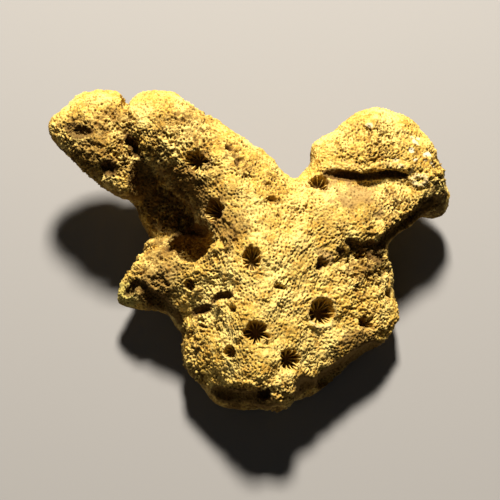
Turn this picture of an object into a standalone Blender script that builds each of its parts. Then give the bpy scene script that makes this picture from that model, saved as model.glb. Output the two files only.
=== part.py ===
"""A fossil bryozoan: a stout colony with two arms and a side stub, and coral cups grown into its skin.

Lengths in the tables are millimetres. +X runs to the right arm, +Y to the tips of both arms and +Z up. The
origin is on the broken base that the colony rests on. The colony is fused as one form, and then parted with
a thin saw cut at each main fork, so that the trunk and every branch is a solid of its own.
"""

import math
from dataclasses import dataclass

import bmesh
import bpy
from mathutils import Euler, Matrix, Vector

MM = 0.001

# Driving dimensions, in millimetres.
FUSE_VOXEL = 0.5
SMOOTH_STEPS = 8
SWELL_SIZE = 3.2
SWELL_HEIGHT = 1.0
SAW_CUT = 0.3
GROUND_BLOCK = 80.0
SOLID_FACES = 5700
LUMP_DETAIL = 3

SEPTA = 12
SEPTUM_WIDTH = 0.2
SEPTUM_REACH = 0.45
CUP_TAPER = 0.8
CUP_FLARE = 1.15
CUP_CLEARANCE = 1.0

SHARP_ANGLE = 40
SKIN_COLOUR = (0.58, 0.40, 0.15, 1.0)
SKIN_ROUGHNESS = 0.95


def placed(centre, turn, sizes):
    """The matrix that stretches a unit form to these sizes, turns it in degrees and puts it in its place."""
    spin = Euler([math.radians(angle) for angle in turn]).to_matrix().to_4x4()
    stretch = Matrix.Diagonal((*(Vector(sizes) * MM), 1.0))
    return Matrix.Translation(Vector(centre) * MM) @ spin @ stretch


@dataclass(frozen=True)
class Lump:
    """An ellipsoid: its centre, its three radii, and its turn about X, then Y, then Z in degrees."""

    centre: tuple
    radii: tuple
    turn: tuple = (0.0, 0.0, 0.0)


@dataclass(frozen=True)
class Break:
    """A box that takes a broken face off the growth: its centre, its sides, and its turn in degrees."""

    centre: tuple
    sides: tuple
    turn: tuple = (0.0, 0.0, 0.0)


@dataclass(frozen=True)
class Cup:
    """A coral cup sunk into the skin.

    It holds the middle of its mouth, its two radii, its depth, how far its axis leans from upright along X
    and Y, and whether ribs stand on its wall.
    """

    mouth: tuple
    radii: tuple
    depth: float
    lean: tuple = (0.0, 0.0)
    ribbed: bool = True


@dataclass(frozen=True)
class Fork:
    """A saw cut between the trunk and a branch: a point on it, the way the branch leaves, and its block."""

    branch: str
    point: tuple
    heading: float
    block: tuple

    def placement(self, gap):
        """The branch's side of the cut as a box, starting this far beyond the middle of the cut."""
        place = Matrix.Translation(Vector(self.point) * MM)
        spin = Matrix.Rotation(math.radians(self.heading), 4, "Z")
        middle = Matrix.Translation(Vector((gap + self.block[0] / 2, 0.0, 0.0)) * MM)
        return place @ spin @ middle @ Matrix.Diagonal((*(Vector(self.block) * MM), 1.0))


# Each mass below is the hull of its lumps.
HEART = Lump((-2.2, 3.0, 8.6), (7.6, 7.6, 7.8))
NECK = Lump((10.8, 2.2, 5.0), (4.6, 4.6, 4.6))
ROOT = Lump((9.4, 7.8, 7.4), (5.2, 4.8, 5.0))
BODY = (
    (
        HEART,
        Lump((-2.2, -10.6, 6.2), (4.0, 5.4, 6.2)),
        Lump((-5.3, -11.2, 4.2), (3.2, 4.4, 4.2)),
        Lump((0.9, -11.0, 4.6), (3.2, 4.4, 4.4)),
        Lump((-6.6, -7.8, 4.6), (5.0, 5.2, 5.0)),
        Lump((4.4, -8.4, 4.4), (5.6, 4.8, 5.0)),
        Lump((11.7, -3.1, 3.8), (4.5, 4.4, 4.0)),
        NECK,
    ),
    (HEART, Lump((2.0, 8.6, 8.6), (5.0, 4.8, 6.4)), ROOT, NECK),
    (
        Lump((-5.2, -2.0, 1.0), (5.6, 7.0, 5.0)),
        Lump((3.6, -5.0, 1.0), (6.0, 7.0, 5.0)),
        Lump((0.5, 5.0, 1.0), (7.5, 5.5, 5.0)),
    ),
)
SHOULDER = Lump((-4.2, 11.0, 10.8), (6.2, 5.9, 6.6))
CREST = Lump((-9.6, 15.8, 12.2), (5.2, 4.8, 5.8))
LEFT_TIP = (
    Lump((-22.2, 20.1, 12.6), (4.9, 4.6, 3.7), (16, 0, 0)),
    Lump((-25.0, 19.6, 12.2), (4.0, 3.4, 3.2), (16, 0, 0)),
    Lump((-18.6, 13.8, 10.6), (3.8, 3.2, 3.6), (16, 0, 0)),
    Lump((-22.2, 16.5, 11.9), (3.6, 3.0, 3.5), (16, 0, 0)),
)
LEFT_ARM = (
    (HEART, SHOULDER),
    (SHOULDER, CREST),
    (CREST, Lump((-15.2, 19.4, 12.6), (5.0, 5.0, 5.0))),
    LEFT_TIP,
    (Lump((-16.6, 14.6, 7.6), (3.2, 3.0, 3.0)), Lump((-11.2, 8.4, 4.2), (5.0, 3.8, 3.4))),
)
CRUST = Lump((17.6, 16.4, 9.6), (4.0, 3.8, 3.6))
CRUST_END = Lump((19.2, 13.9, 8.8), (3.0, 4.2, 3.8))
RIGHT_ARM = (
    (Lump((9.4, 16.3, 9.6), (4.9, 3.8, 3.4)), Lump((13.8, 18.5, 9.4), (6.0, 5.2, 4.6), (0, 0, 20)), CRUST),
    (CRUST, CRUST_END),
    (ROOT, Lump((7.4, 12.6, 8.0), (4.6, 4.0, 4.2))),
    (
        ROOT,
        Lump((12.4, 12.0, 6.9), (5.4, 4.2, 3.8)),
        Lump((18.2, 12.2, 7.6), (3.2, 2.4, 3.2)),
        Lump((14.4, 9.1, 8.2), (3.6, 2.6, 3.0)),
    ),
    (Lump((20.9, 12.2, 6.2), (2.4, 2.6, 3.0)), CRUST_END),
)
STUB_ROOT = Lump((-10.6, 1.6, 6.2), (5.0, 5.4, 5.4))
STUB = (
    (HEART, STUB_ROOT),
    (STUB_ROOT, Lump((-13.2, 3.8, 4.6), (3.2, 3.6, 4.2))),
    (STUB_ROOT, Lump((-9.8, -2.6, 4.8), (3.6, 3.4, 4.0))),
    (STUB_ROOT, Lump((-15.4, 0.9, 5.6), (3.8, 3.8, 3.8)), Lump((-18.8, -1.0, 5.4), (1.6, 1.2, 1.6))),
)

BREAKS = (
    Break((-2.4, -20.2, 4.0), (24.0, 10.0, 30.0), (-8, 0, 0)),
    Break((12.7, -14.1, 4.0), (24.0, 10.0, 30.0), (-10, 0, 32)),
)
HOLLOWS = (
    Lump((-9.9, 4.0, 11.4), (2.9, 2.7, 4.0)),
    Lump((11.4, 2.8, 11.2), (3.4, 1.4, 1.8), (0, 8, 18)),
    Lump((-0.8, -15.6, 9.4), (3.6, 1.6, 1.8)),
)
UNDERCUT = Lump((12.0, 14.0, 11.3), (6.6, 2.3, 0.6), (0, 2, 0))
CUPS = (
    Cup((5.9, -4.7, 11.0), (1.75, 1.75), 2.2, (0.25, -0.2)),
    Cup((-2.4, -8.1, 13.3), (1.45, 1.45), 2.0, (-0.05, -0.25)),
    Cup((1.9, -10.9, 11.0), (1.45, 1.45), 2.0, (0.25, -0.35)),
    Cup((-7.4, 7.0, 15.3), (1.5, 1.4), 2.0, (-0.4, -0.15)),
    Cup((-2.8, 0.5, 15.9), (1.15, 1.6), 1.8, (0.0, -0.1)),
    Cup((-9.8, 13.0, 17.2), (1.25, 1.25), 1.6, (-0.25, -0.25)),
    Cup((5.7, 12.0, 12.2), (1.35, 1.35), 1.6, (0.0, 0.1)),
    Cup((-5.4, -9.9, 11.0), (0.9, 0.9), 1.0, (-0.4, -0.3), ribbed=False),
    Cup((-10.5, -1.3, 11.0), (0.8, 0.8), 0.9, (-0.3, -0.4), ribbed=False),
    Cup((11.6, -5.1, 7.9), (0.9, 0.9), 0.7, (0.4, -0.3), ribbed=False),
    Cup((-6.4, -3.9, 13.0), (0.8, 0.45), 0.9, (-0.4, -0.3), ribbed=False),
    Cup((-8.8, -4.2, 10.7), (0.9, 0.45), 0.9, (-0.5, -0.3), ribbed=False),
    Cup((5.9, 0.8, 12.7), (0.9, 0.9), 1.1, (0.3, -0.2), ribbed=False),
    Cup((-24.7, 17.9, 15.2), (1.5, 1.1), 1.3, (-0.2, -0.3), ribbed=False),
    Cup((-20.8, 13.3, 13.9), (1.0, 1.0), 1.1, (-0.1, -0.5), ribbed=False),
)
FORKS = (
    Fork("left_branch", (-13.0, 7.7, 10.0), 118.0, (30.0, 34.0, 40.0)),
    Fork("right_branch", (9.8, 11.4, 10.0), 50.0, (24.0, 30.0, 40.0)),
    Fork("side_stub", (-14.8, 0.2, 8.0), 193.0, (12.0, 16.0, 30.0)),
)


def finished(form, name):
    """Turns a bmesh into a hidden helper, with every normal facing out."""
    bmesh.ops.recalc_face_normals(form, faces=form.faces)
    mesh = bpy.data.meshes.new(name)
    form.to_mesh(mesh)
    form.free()
    helper = bpy.data.objects.new(name, mesh)
    bpy.context.scene.collection.objects.link(helper)
    helper.hide_render = True
    helper.display_type = "WIRE"
    return helper


def lump_points(lump):
    """Points all over the lump's skin."""
    ball = bmesh.new()
    spot = placed(lump.centre, lump.turn, lump.radii)
    bmesh.ops.create_icosphere(ball, subdivisions=LUMP_DETAIL, radius=1.0, matrix=spot)
    points = [point.co.copy() for point in ball.verts]
    ball.free()
    return points


def hulls(name, masses):
    """One helper that holds the hull of each mass."""
    form = bmesh.new()
    for mass in masses:
        points = [form.verts.new(point) for lump in mass for point in lump_points(lump)]
        hull = bmesh.ops.convex_hull(form, input=points)
        spare = set(hull["geom_interior"]) | set(hull["geom_unused"])
        inside = [item for item in spare if isinstance(item, bmesh.types.BMVert)]
        bmesh.ops.delete(form, geom=inside, context="VERTS")
    return finished(form, name)


def block(name, placement):
    """One box, from a unit cube."""
    form = bmesh.new()
    bmesh.ops.create_cube(form, size=1.0, matrix=placement)
    return finished(form, name)


def cup_outline(cup):
    """The plan of a cup's opening, notched by its ribs if it has them, with a radius near one."""
    points = []
    for index in range(SEPTA):
        middle = 2 * math.pi * index / SEPTA
        if not cup.ribbed:
            points.append((math.cos(middle), math.sin(middle)))
            continue
        half = SEPTUM_WIDTH / 2 / max(cup.radii)
        inner = 1 - SEPTUM_REACH
        for side, reach in ((-half, 1.0), (-half, inner), (half, inner), (half, 1.0)):
            angle = middle + side / reach
            points.append((math.cos(angle) * reach, math.sin(angle) * reach))
    return points


def cup_cutter(cup):
    """The space inside a cup: its plan narrows from above the mouth down to the floor."""
    form = bmesh.new()
    outline = cup_outline(cup)
    rings = []
    for height, scale in ((-cup.depth, CUP_TAPER), (0.0, 1.0), (CUP_CLEARANCE, CUP_FLARE)):
        ring = []
        for x, y in outline:
            spot = Vector((x * cup.radii[0] * scale, y * cup.radii[1] * scale, height))
            ring.append(form.verts.new(spot * MM))
        rings.append(ring)
    count = len(outline)
    for lower, upper in zip(rings, rings[1:]):
        for index in range(count):
            after = (index + 1) % count
            form.faces.new((lower[index], lower[after], upper[after], upper[index]))
    for ring, height in ((rings[0][::-1], -cup.depth), (rings[-1], CUP_CLEARANCE)):
        middle = form.verts.new((0.0, 0.0, height * MM))
        for index in range(count):
            form.faces.new((middle, ring[index], ring[(index + 1) % count]))
    axis = Vector((*cup.lean, 1.0)).to_track_quat("Z", "Y").to_matrix().to_4x4()
    bmesh.ops.transform(form, matrix=Matrix.Translation(Vector(cup.mouth) * MM) @ axis, verts=form.verts)
    return finished(form, "cup")


def fuse(target):
    """Adds a voxel remesh, which joins overlapping masses into one skin."""
    remesh = target.modifiers.new("fuse", "REMESH")
    remesh.mode = "VOXEL"
    remesh.voxel_size = FUSE_VOXEL * MM


def cut(target, tool, operation="DIFFERENCE"):
    """Adds a Boolean of the target with a tool."""
    boolean = target.modifiers.new(tool.name, "BOOLEAN")
    boolean.operation = operation
    boolean.object = tool
    boolean.solver = "EXACT"


def settle(target):
    """Applies every modifier of the target."""
    graph = bpy.context.evaluated_depsgraph_get()
    mesh = bpy.data.meshes.new_from_object(target.evaluated_get(graph))
    target.modifiers.clear()
    target.data = mesh


def grow_colony():
    """The whole colony as one closed form, with a flat base, before the saw cuts."""
    colony = hulls("colony", BODY + LEFT_ARM + RIGHT_ARM + STUB)
    fuse(colony)
    for face in BREAKS:
        cut(colony, block("break", placed(face.centre, face.turn, face.sides)))
    for hollow in HOLLOWS:
        cut(colony, hulls("hollow", ((hollow,),)))
    fuse(colony)
    soften = colony.modifiers.new("soften", "SMOOTH")
    soften.iterations = SMOOTH_STEPS
    swell = colony.modifiers.new("swell", "DISPLACE")
    swell.texture = bpy.data.textures.new("swell", "CLOUDS")
    swell.texture.noise_scale = SWELL_SIZE * MM
    swell.texture_coords = "LOCAL"
    swell.strength = SWELL_HEIGHT * MM
    settle(colony)
    thin = colony.modifiers.new("thin", "DECIMATE")
    colony.data.calc_loop_triangles()
    thin.ratio = SOLID_FACES / len(colony.data.loop_triangles)
    settle(colony)
    below = (0.0, 0.0, -GROUND_BLOCK / 2)
    cut(colony, block("ground", placed(below, (0, 0, 0), (GROUND_BLOCK,) * 3)))
    cut(colony, hulls("undercut", ((UNDERCUT,),)))
    for cup in CUPS:
        cut(colony, cup_cutter(cup))
    settle(colony)
    return colony


def finish(piece, skin):
    """Shows a piece, gives it its skin, and shades it smooth apart from its sharp edges."""
    settle(piece)
    piece.data.name = piece.name
    piece.data.materials.clear()
    piece.data.materials.append(skin)
    piece.data.shade_smooth()
    piece.data.set_sharp_from_angle(angle=math.radians(SHARP_ANGLE))
    piece.hide_render = False
    piece.display_type = "TEXTURED"


def skin_material(name):
    """The dry ochre limestone of the skin."""
    skin = bpy.data.materials.new(name)
    skin.use_nodes = True
    surface = skin.node_tree.nodes["Principled BSDF"]
    surface.inputs["Base Color"].default_value = SKIN_COLOUR
    surface.inputs["Roughness"].default_value = SKIN_ROUGHNESS
    surface.inputs["Metallic"].default_value = 0.0
    return skin


def main():
    for old in list(bpy.data.objects):
        bpy.data.objects.remove(old)
    trunk = grow_colony()
    trunk.name = "trunk"
    pieces = [trunk]
    for fork in FORKS:
        branch = bpy.data.objects.new(fork.branch, trunk.data.copy())
        bpy.context.scene.collection.objects.link(branch)
        cut(branch, block("keep", fork.placement(SAW_CUT / 2)), "INTERSECT")
        pieces.append(branch)
    for fork in FORKS:
        cut(trunk, block("saw", fork.placement(-SAW_CUT / 2)))
    for piece in pieces:
        finish(piece, skin_material(piece.name + "_skin"))


main()
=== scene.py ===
"""A fossil bryozoan colony, dressed: two stout arms, a side stub, coral cups and a skin of openings.

Every length in the tables is in millimetres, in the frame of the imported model: +X runs to the right arm,
+Y to the tips of both arms and +Z up, and the broken base lies at Z = 0. The masses of the colony are the
ones that its solids are made of. They are fused once, given their fine relief as one skin, and then parted
at the main forks, so that the skin runs on without a step from piece to piece.
"""

import logging
import math
from dataclasses import dataclass, field
from enum import Enum
from itertools import product

import bmesh
import bpy
import numpy as np
from mathutils import Euler, Matrix, Vector
from mathutils.kdtree import KDTree

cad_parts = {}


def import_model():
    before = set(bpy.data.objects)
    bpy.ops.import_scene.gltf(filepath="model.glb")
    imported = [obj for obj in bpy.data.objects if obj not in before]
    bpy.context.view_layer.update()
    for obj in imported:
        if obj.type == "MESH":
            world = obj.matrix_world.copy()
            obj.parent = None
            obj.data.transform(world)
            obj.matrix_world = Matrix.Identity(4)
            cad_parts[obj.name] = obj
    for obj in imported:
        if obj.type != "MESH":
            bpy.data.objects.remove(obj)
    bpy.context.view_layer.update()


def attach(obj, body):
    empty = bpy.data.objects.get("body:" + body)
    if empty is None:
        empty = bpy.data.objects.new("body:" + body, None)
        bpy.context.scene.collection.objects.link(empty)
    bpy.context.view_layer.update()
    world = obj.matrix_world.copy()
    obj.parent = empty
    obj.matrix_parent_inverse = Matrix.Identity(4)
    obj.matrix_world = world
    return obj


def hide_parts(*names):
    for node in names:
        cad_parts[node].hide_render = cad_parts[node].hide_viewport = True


Triple = tuple[float, float, float]
Pair = tuple[float, float]

MM = 0.001
LOG = logging.getLogger("fossil")

# Points nearer than this, in metres, count as one where the skin is cut.
JOIN = 1e-7
# How near a point of the skin is to a parting face that it lies on, in millimetres.
ON_FACE = 1e-3
# The least number that a length is divided by.
TINY = 1e-6

# The noise: how many slopes it has, how its cells are numbered and the numbers folded, how far a
# pattern may be shifted, in its own lumps, and what draws it out to reach about -1 and 1.
SLOPES = 256
CELL_PRIMES = (73856093, 19349663, 83492791)
CELL_FOLDS = (9, 17)
NOISE_SHIFT = 50.0
NOISE_GAIN = 1.6

# How the ragged edges of spots and trails wander, and how far out they are looked at, in radii for a
# spot and in millimetres past its width for a trail. The weights give each its own pattern.
WANDER_LAYERS = 3
WANDER_FADE = 0.6
WANDER_REACH = 2.0
SPOT_WEIGHTS = (97, 31, 5)
TRAIL_WEIGHTS = (53, 17, 3)


def smooth_step(value: np.ndarray) -> np.ndarray:
    """Eases a value from 0 to 1, and holds it outside that range."""
    held = np.clip(value, 0.0, 1.0)
    return held * held * (3.0 - 2.0 * held)


def own_seed(place: Triple, weights: tuple[int, int, int]) -> int:
    """Finds a seed that goes with a place.

    Args:
        place: The place, in millimetres.
        weights: What its X and its Y count for, and what is added.

    Returns:
        The seed.
    """
    return int(abs(place[0] * weights[0] + place[1] * weights[1])) + weights[2]


def placed(centre: Triple, turn: Triple, sizes: Triple) -> Matrix:
    """Finds where a unit form goes.

    Args:
        centre: The middle of the form, in millimetres.
        turn: Its turn about X, then Y, then Z, in degrees.
        sizes: How far it is stretched along its own axes, in millimetres.

    Returns:
        The matrix that stretches, turns and moves the unit form, in metres.
    """
    spin = Euler([math.radians(angle) for angle in turn]).to_matrix().to_4x4()
    stretch = Matrix.Diagonal((*(Vector(sizes) * MM), 1.0))
    return Matrix.Translation(Vector(centre) * MM) @ spin @ stretch


class Part(Enum):
    """The pieces that the colony is parted into, by the names of the nodes that they stand for."""

    TRUNK = "trunk"
    LEFT = "left_branch"
    RIGHT = "right_branch"
    STUB = "side_stub"


class Mask(Enum):
    """What a point of the skin carries for its finish, by the name of the attribute that holds it."""

    # Partly dark grit and partly painted shade in the openings.
    PORE = "pore"
    # Painted shade in hollows, pits, gaps, grooves and cups.
    HOLLOW_SHADE = "hollow"
    # The brown of broken faces, and painted shade on faces turned down and on shaded places.
    STAIN_AND_SHADE = "stain_and_shade"
    # Pale chips, and a painted highlight on the ridge under the largest cup.
    CHALK = "chalk"
    ASH = "ash"
    MOSS = "moss"
    # Dust, and painted shade in the lows of the grain and on shaded places.
    DUST_AND_SHADE = "dust_and_shade"


@dataclass(frozen=True)
class Lump:
    """An ellipsoid of growth.

    Attributes:
        centre: Its middle.
        radii: Its radii along its own axes.
        turn: Its turn about X, then Y, then Z, in degrees.
        fineness: How often the ball that it is made from is subdivided.
    """

    centre: Triple
    radii: Triple
    turn: Triple = (0.0, 0.0, 0.0)
    fineness: int = 3

    def points(self) -> list[Vector]:
        """Finds points all over the lump's skin.

        Returns:
            The points, in metres.
        """
        ball = bmesh.new()
        spot = placed(self.centre, self.turn, self.radii)
        bmesh.ops.create_icosphere(ball, subdivisions=self.fineness, radius=1.0, matrix=spot)
        found = [point.co.copy() for point in ball.verts]
        ball.free()
        return found


@dataclass(frozen=True)
class Chain:
    """A run of lumps, each bridged to the next, that is carved out of the growth or set on it.

    Attributes:
        lumps: The lumps, in order.
        tint: The mask that the skin carries there, if it has one.
        strength: How much of that mask it carries.
        calm: How much of the relief is kept off it.
        halo: How far out the mask is gone, as a share of a lump's radius.
        fade: How much of that the mask fades over.
        samples: How many places of a bridge are looked at.
    """

    lumps: tuple[Lump, ...]
    tint: Mask | None = None
    strength: float = 0.0
    calm: float = 0.0
    halo: float = 1.5
    fade: float = 0.4
    samples: int = 5

    def masses(self) -> tuple[tuple[Lump, ...], ...]:
        """Groups the lumps as they are bridged.

        Returns:
            The lumps in pairs, or the lump alone where there is one.
        """
        if len(self.lumps) == 1:
            return (self.lumps,)
        return tuple(zip(self.lumps, self.lumps[1:]))

    def share(self, points: np.ndarray) -> np.ndarray:
        """Tells how much of each point lies in the chain.

        Args:
            points: The points, in millimetres.

        Returns:
            One inside the chain, and less and less to nothing a little way outside it.
        """
        best = np.full(len(points), np.inf)
        for mass in self.masses():
            first, last = mass[0], mass[-1]
            for part in np.linspace(0.0, 1.0, self.samples if first is not last else 1):
                centre = np.array(first.centre) * (1.0 - part) + np.array(last.centre) * part
                radii = np.array(first.radii) * (1.0 - part) + np.array(last.radii) * part
                best = np.minimum(best, np.linalg.norm((points - centre) / radii, axis=1))
        return smooth_step((self.halo - best) / self.fade)


@dataclass(frozen=True)
class Break:
    """A box that takes a broken face off the growth.

    Attributes:
        centre: Its middle.
        sides: Its sides.
        turn: Its turn about X, then Y, then Z, in degrees.
    """

    centre: Triple
    sides: Triple
    turn: Triple = (0.0, 0.0, 0.0)


@dataclass(frozen=True)
class Fork:
    """A main fork, where a branch leaves the trunk.

    Attributes:
        branch: The branch beyond it.
        point: A point on the parting face.
        heading: The way the branch leaves, from +X towards +Y, in degrees.
        width: The width of the parting face.
    """

    branch: Part
    point: Triple
    heading: float
    width: float

    def along(self) -> np.ndarray:
        """The way the branch leaves the trunk, as a unit vector."""
        angle = math.radians(self.heading)
        return np.array([math.cos(angle), math.sin(angle), 0.0])

    def beyond(self, points: np.ndarray) -> np.ndarray:
        """Tells how far beyond the parting face points are.

        Args:
            points: The points, in millimetres.

        Returns:
            The distance beyond the face for each point, and minus infinity outside the branch's width.
        """
        offset = points - np.array(self.point)
        heading = self.along()
        side = offset @ np.array([-heading[1], heading[0], 0.0])
        return np.where(np.abs(side) < self.width / 2, offset @ heading, -np.inf)


@dataclass(frozen=True)
class Grain:
    """Smooth random relief that is the same on every run.

    Attributes:
        seed: Which pattern it is.
        pitch: The size of its widest lumps, in millimetres.
        count: How many layers it has, each half as wide as the one before.
        fade: How high each layer is beside the one before it.
    """

    seed: int
    pitch: float
    count: int
    fade: float = 0.5

    def layer(self, points: np.ndarray, step: int) -> np.ndarray:
        """Reads one layer of gradient noise.

        Args:
            points: The points, in millimetres.
            step: Which layer it is, counted from nothing.

        Returns:
            A height for each point, between about -1 and 1.
        """
        chance = np.random.default_rng(self.seed + step)
        slopes = chance.normal(size=(SLOPES, 3))
        slopes /= np.linalg.norm(slopes, axis=1, keepdims=True)
        scaled = points / (self.pitch / 2**step) + chance.uniform(0.0, NOISE_SHIFT, 3)
        cells = np.floor(scaled).astype(np.int64)
        local = scaled - cells
        eased = local**3 * (local * (local * 6.0 - 15.0) + 10.0)
        total = np.zeros(len(points))
        for corner in product((0, 1), repeat=3):
            key = np.bitwise_xor.reduce((cells + corner) * np.array(CELL_PRIMES), axis=1)
            slope = slopes[(key ^ (key >> CELL_FOLDS[0]) ^ (key >> CELL_FOLDS[1])) % SLOPES]
            share = np.prod(np.where(corner, eased, 1.0 - eased), axis=1)
            total += share * np.einsum("ij,ij->i", slope, local - corner)
        return total * NOISE_GAIN

    def at(self, points: np.ndarray) -> np.ndarray:
        """Adds up the layers.

        Args:
            points: The points, in millimetres.

        Returns:
            A height for each point, between about -1 and 1.
        """
        total = np.zeros(len(points))
        for step in range(self.count):
            total += self.layer(points, step) * self.fade**step
        return total


@dataclass(frozen=True)
class Amount:
    """An amount that grows with something else, such as the roughness of the growth.

    Attributes:
        least: The amount where there is nothing of the other.
        added: What one of the other adds to it.
    """

    least: float
    added: float

    def at(self, other: np.ndarray | float) -> np.ndarray | float:
        """The amount where there is this much of the other."""
        return self.least + self.added * other


@dataclass(frozen=True)
class Streamline:
    """The line that a limb of the colony grew along, which its openings and veins follow.

    Attributes:
        path: The points that it runs through.
    """

    path: tuple[Triple, ...]

    def nearest(self, points: np.ndarray) -> tuple[np.ndarray, np.ndarray]:
        """Finds the stretch of the line beside each point.

        Args:
            points: The points, in millimetres.

        Returns:
            How far each point is from the line, and the line's direction there.
        """
        closest = np.full(len(points), np.inf)
        heading = np.zeros_like(points)
        for start, end in zip(self.path, self.path[1:]):
            away = distance_to_stretch(points, np.array(start), np.array(end))
            nearer = away < closest
            closest = np.where(nearer, away, closest)
            run = np.array(end) - np.array(start)
            heading[nearer] = run / np.linalg.norm(run)
        return closest, heading


def distance_to_stretch(points: np.ndarray, start: np.ndarray, end: np.ndarray) -> np.ndarray:
    """Measures how far points are from a straight stretch.

    Args:
        points: The points, in millimetres.
        start: One end of the stretch.
        end: Its other end.

    Returns:
        The distance of each point.
    """
    run = end - start
    share = np.clip((points - start) @ run / (run @ run), 0.0, 1.0)
    return np.linalg.norm(points - start - share[:, None] * run, axis=1)


@dataclass(frozen=True)
class Spot:
    """A place on the skin with soft or ragged edges.

    Attributes:
        centre: Its middle.
        radii: Its radii along its own axes.
        turn: Its turn about Z, in degrees.
        ragged: How far its edge wanders, as a share of its radius.
        wander: How wide the bays of a ragged edge are, as a share of its smallest radius.
        least_wander: How wide they are at least, in millimetres.
    """

    centre: Triple
    radii: Triple
    turn: float = 0.0
    ragged: float = 0.0
    wander: float = 0.7
    least_wander: float = 0.35

    def reach(self, points: np.ndarray) -> np.ndarray:
        """Tells how deep inside the spot each point is.

        Args:
            points: The points, in millimetres.

        Returns:
            One at the middle of the spot, nothing at its edge, and less outside it.
        """
        cosine, sine = math.cos(math.radians(self.turn)), math.sin(math.radians(self.turn))
        spin = np.array([[cosine, -sine, 0.0], [sine, cosine, 0.0], [0.0, 0.0, 1.0]])
        local = (points - np.array(self.centre)) @ spin / np.array(self.radii)
        away = np.linalg.norm(local, axis=1)
        if self.ragged:
            near = away < WANDER_REACH
            bays = max(min(self.radii) * self.wander, self.least_wander)
            grain = Grain(own_seed(self.centre, SPOT_WEIGHTS), bays, WANDER_LAYERS, WANDER_FADE)
            away[near] += self.ragged * grain.at(points[near])
        return 1.0 - away

    def share(self, points: np.ndarray, sharpness: float) -> np.ndarray:
        """How much of the spot's full strength each point takes, by how sharp its edge is."""
        return smooth_step(self.reach(points) * sharpness)


@dataclass(frozen=True)
class Dent:
    """A pit in the skin, or a knob on it where its depth is below nothing.

    Attributes:
        spot: Where it is.
        depth: How far its floor lies under the skin.
        wall: How much of its radius its wall takes up.
        tint: The mask that its floor carries, if it has one.
        strength: How much of that mask it carries.
    """

    spot: Spot
    depth: float
    wall: float = 0.5
    tint: Mask | None = None
    strength: float = 0.0

    def share(self, points: np.ndarray) -> np.ndarray:
        """How much of the full depth each point takes."""
        return smooth_step(self.spot.reach(points) / self.wall)


@dataclass(frozen=True)
class Trail:
    """A groove or a ridge along a line on the skin.

    Attributes:
        path: The points that it runs through.
        width: Half its width.
        depth: How far it lies under the skin, or below nothing for a ridge.
        ragged: How far its edges wander, in millimetres.
        tint: The mask that it carries, if it has one.
        strength: How much of that mask it carries.
        bays: How wide the bays of its ragged edges are.
        slope: How much of its width its sides take up.
    """

    path: tuple[Triple, ...]
    width: float
    depth: float
    ragged: float = 0.0
    tint: Mask | None = None
    strength: float = 0.0
    bays: float = 1.1
    slope: float = 0.7

    def share(self, points: np.ndarray) -> np.ndarray:
        """Tells how much of the full depth each point takes.

        Args:
            points: The points, in millimetres.

        Returns:
            One along the middle of the trail, and less and less to nothing at its edges.
        """
        away = Streamline(self.path).nearest(points)[0]
        if self.ragged:
            near = away < self.width + WANDER_REACH
            grain = Grain(own_seed(self.path[0], TRAIL_WEIGHTS), self.bays, WANDER_LAYERS, WANDER_FADE)
            away[near] += self.ragged * grain.at(points[near])
        return smooth_step((1.0 - away / self.width) / self.slope)


RIM_GRAIN = Grain(95, 1.0, 2, 0.7)


@dataclass(frozen=True)
class Cup:
    """A coral cup sunk into the skin.

    Attributes:
        mouth: The middle of its mouth.
        radii: The radii of its mouth.
        depth: How deep its floor lies.
        lean: How far its axis leans from upright along X and Y.
        ribs: How many ribs stand on its wall.
        rim: How far its rim stands above the skin.
        ragged: How far its rim wanders, as a share of its radius.
        part: The piece that it is in; not used.
        bays: How many bays of the noise lie along one radius of its rim.
        shift: How far the noise is moved for each millimetre that the cup lies away.
    """

    mouth: Triple
    radii: Pair
    depth: float
    lean: Pair = (0.0, 0.0)
    ribs: int = 0
    rim: float = 0.1
    ragged: float = 0.15
    part: Part = Part.TRUNK
    bays: float = 2.0
    shift: float = 3.0

    def axes(self) -> np.ndarray:
        """The cup's own axes as columns, the last of them along its axis and out of its mouth."""
        turn = Vector((*self.lean, 1.0)).to_track_quat("Z", "Y").to_matrix()
        return np.array(turn)

    def local(self, points: np.ndarray) -> np.ndarray:
        """Points in the cup's own axes, from the middle of its mouth."""
        return (points - np.array(self.mouth)) @ self.axes()

    def edge(self, angles: np.ndarray) -> np.ndarray:
        """How far out the ragged rim runs at each angle, as a share of the mouth's radius."""
        ring = np.column_stack((np.cos(angles), np.sin(angles), np.zeros(len(angles)))) * self.bays
        return 1.0 + self.ragged * RIM_GRAIN.at(ring + np.array(self.mouth) * self.shift)

    def outward(self, points: np.ndarray) -> np.ndarray:
        """Measures how far out points are from the cup's axis.

        Args:
            points: The points, in millimetres.

        Returns:
            The distance of each, as a share of the mouth's ragged radius.
        """
        local = self.local(points)
        x, y = local[:, 0] / self.radii[0], local[:, 1] / self.radii[1]
        return np.hypot(x, y) / self.edge(np.arctan2(y, x))


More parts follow.
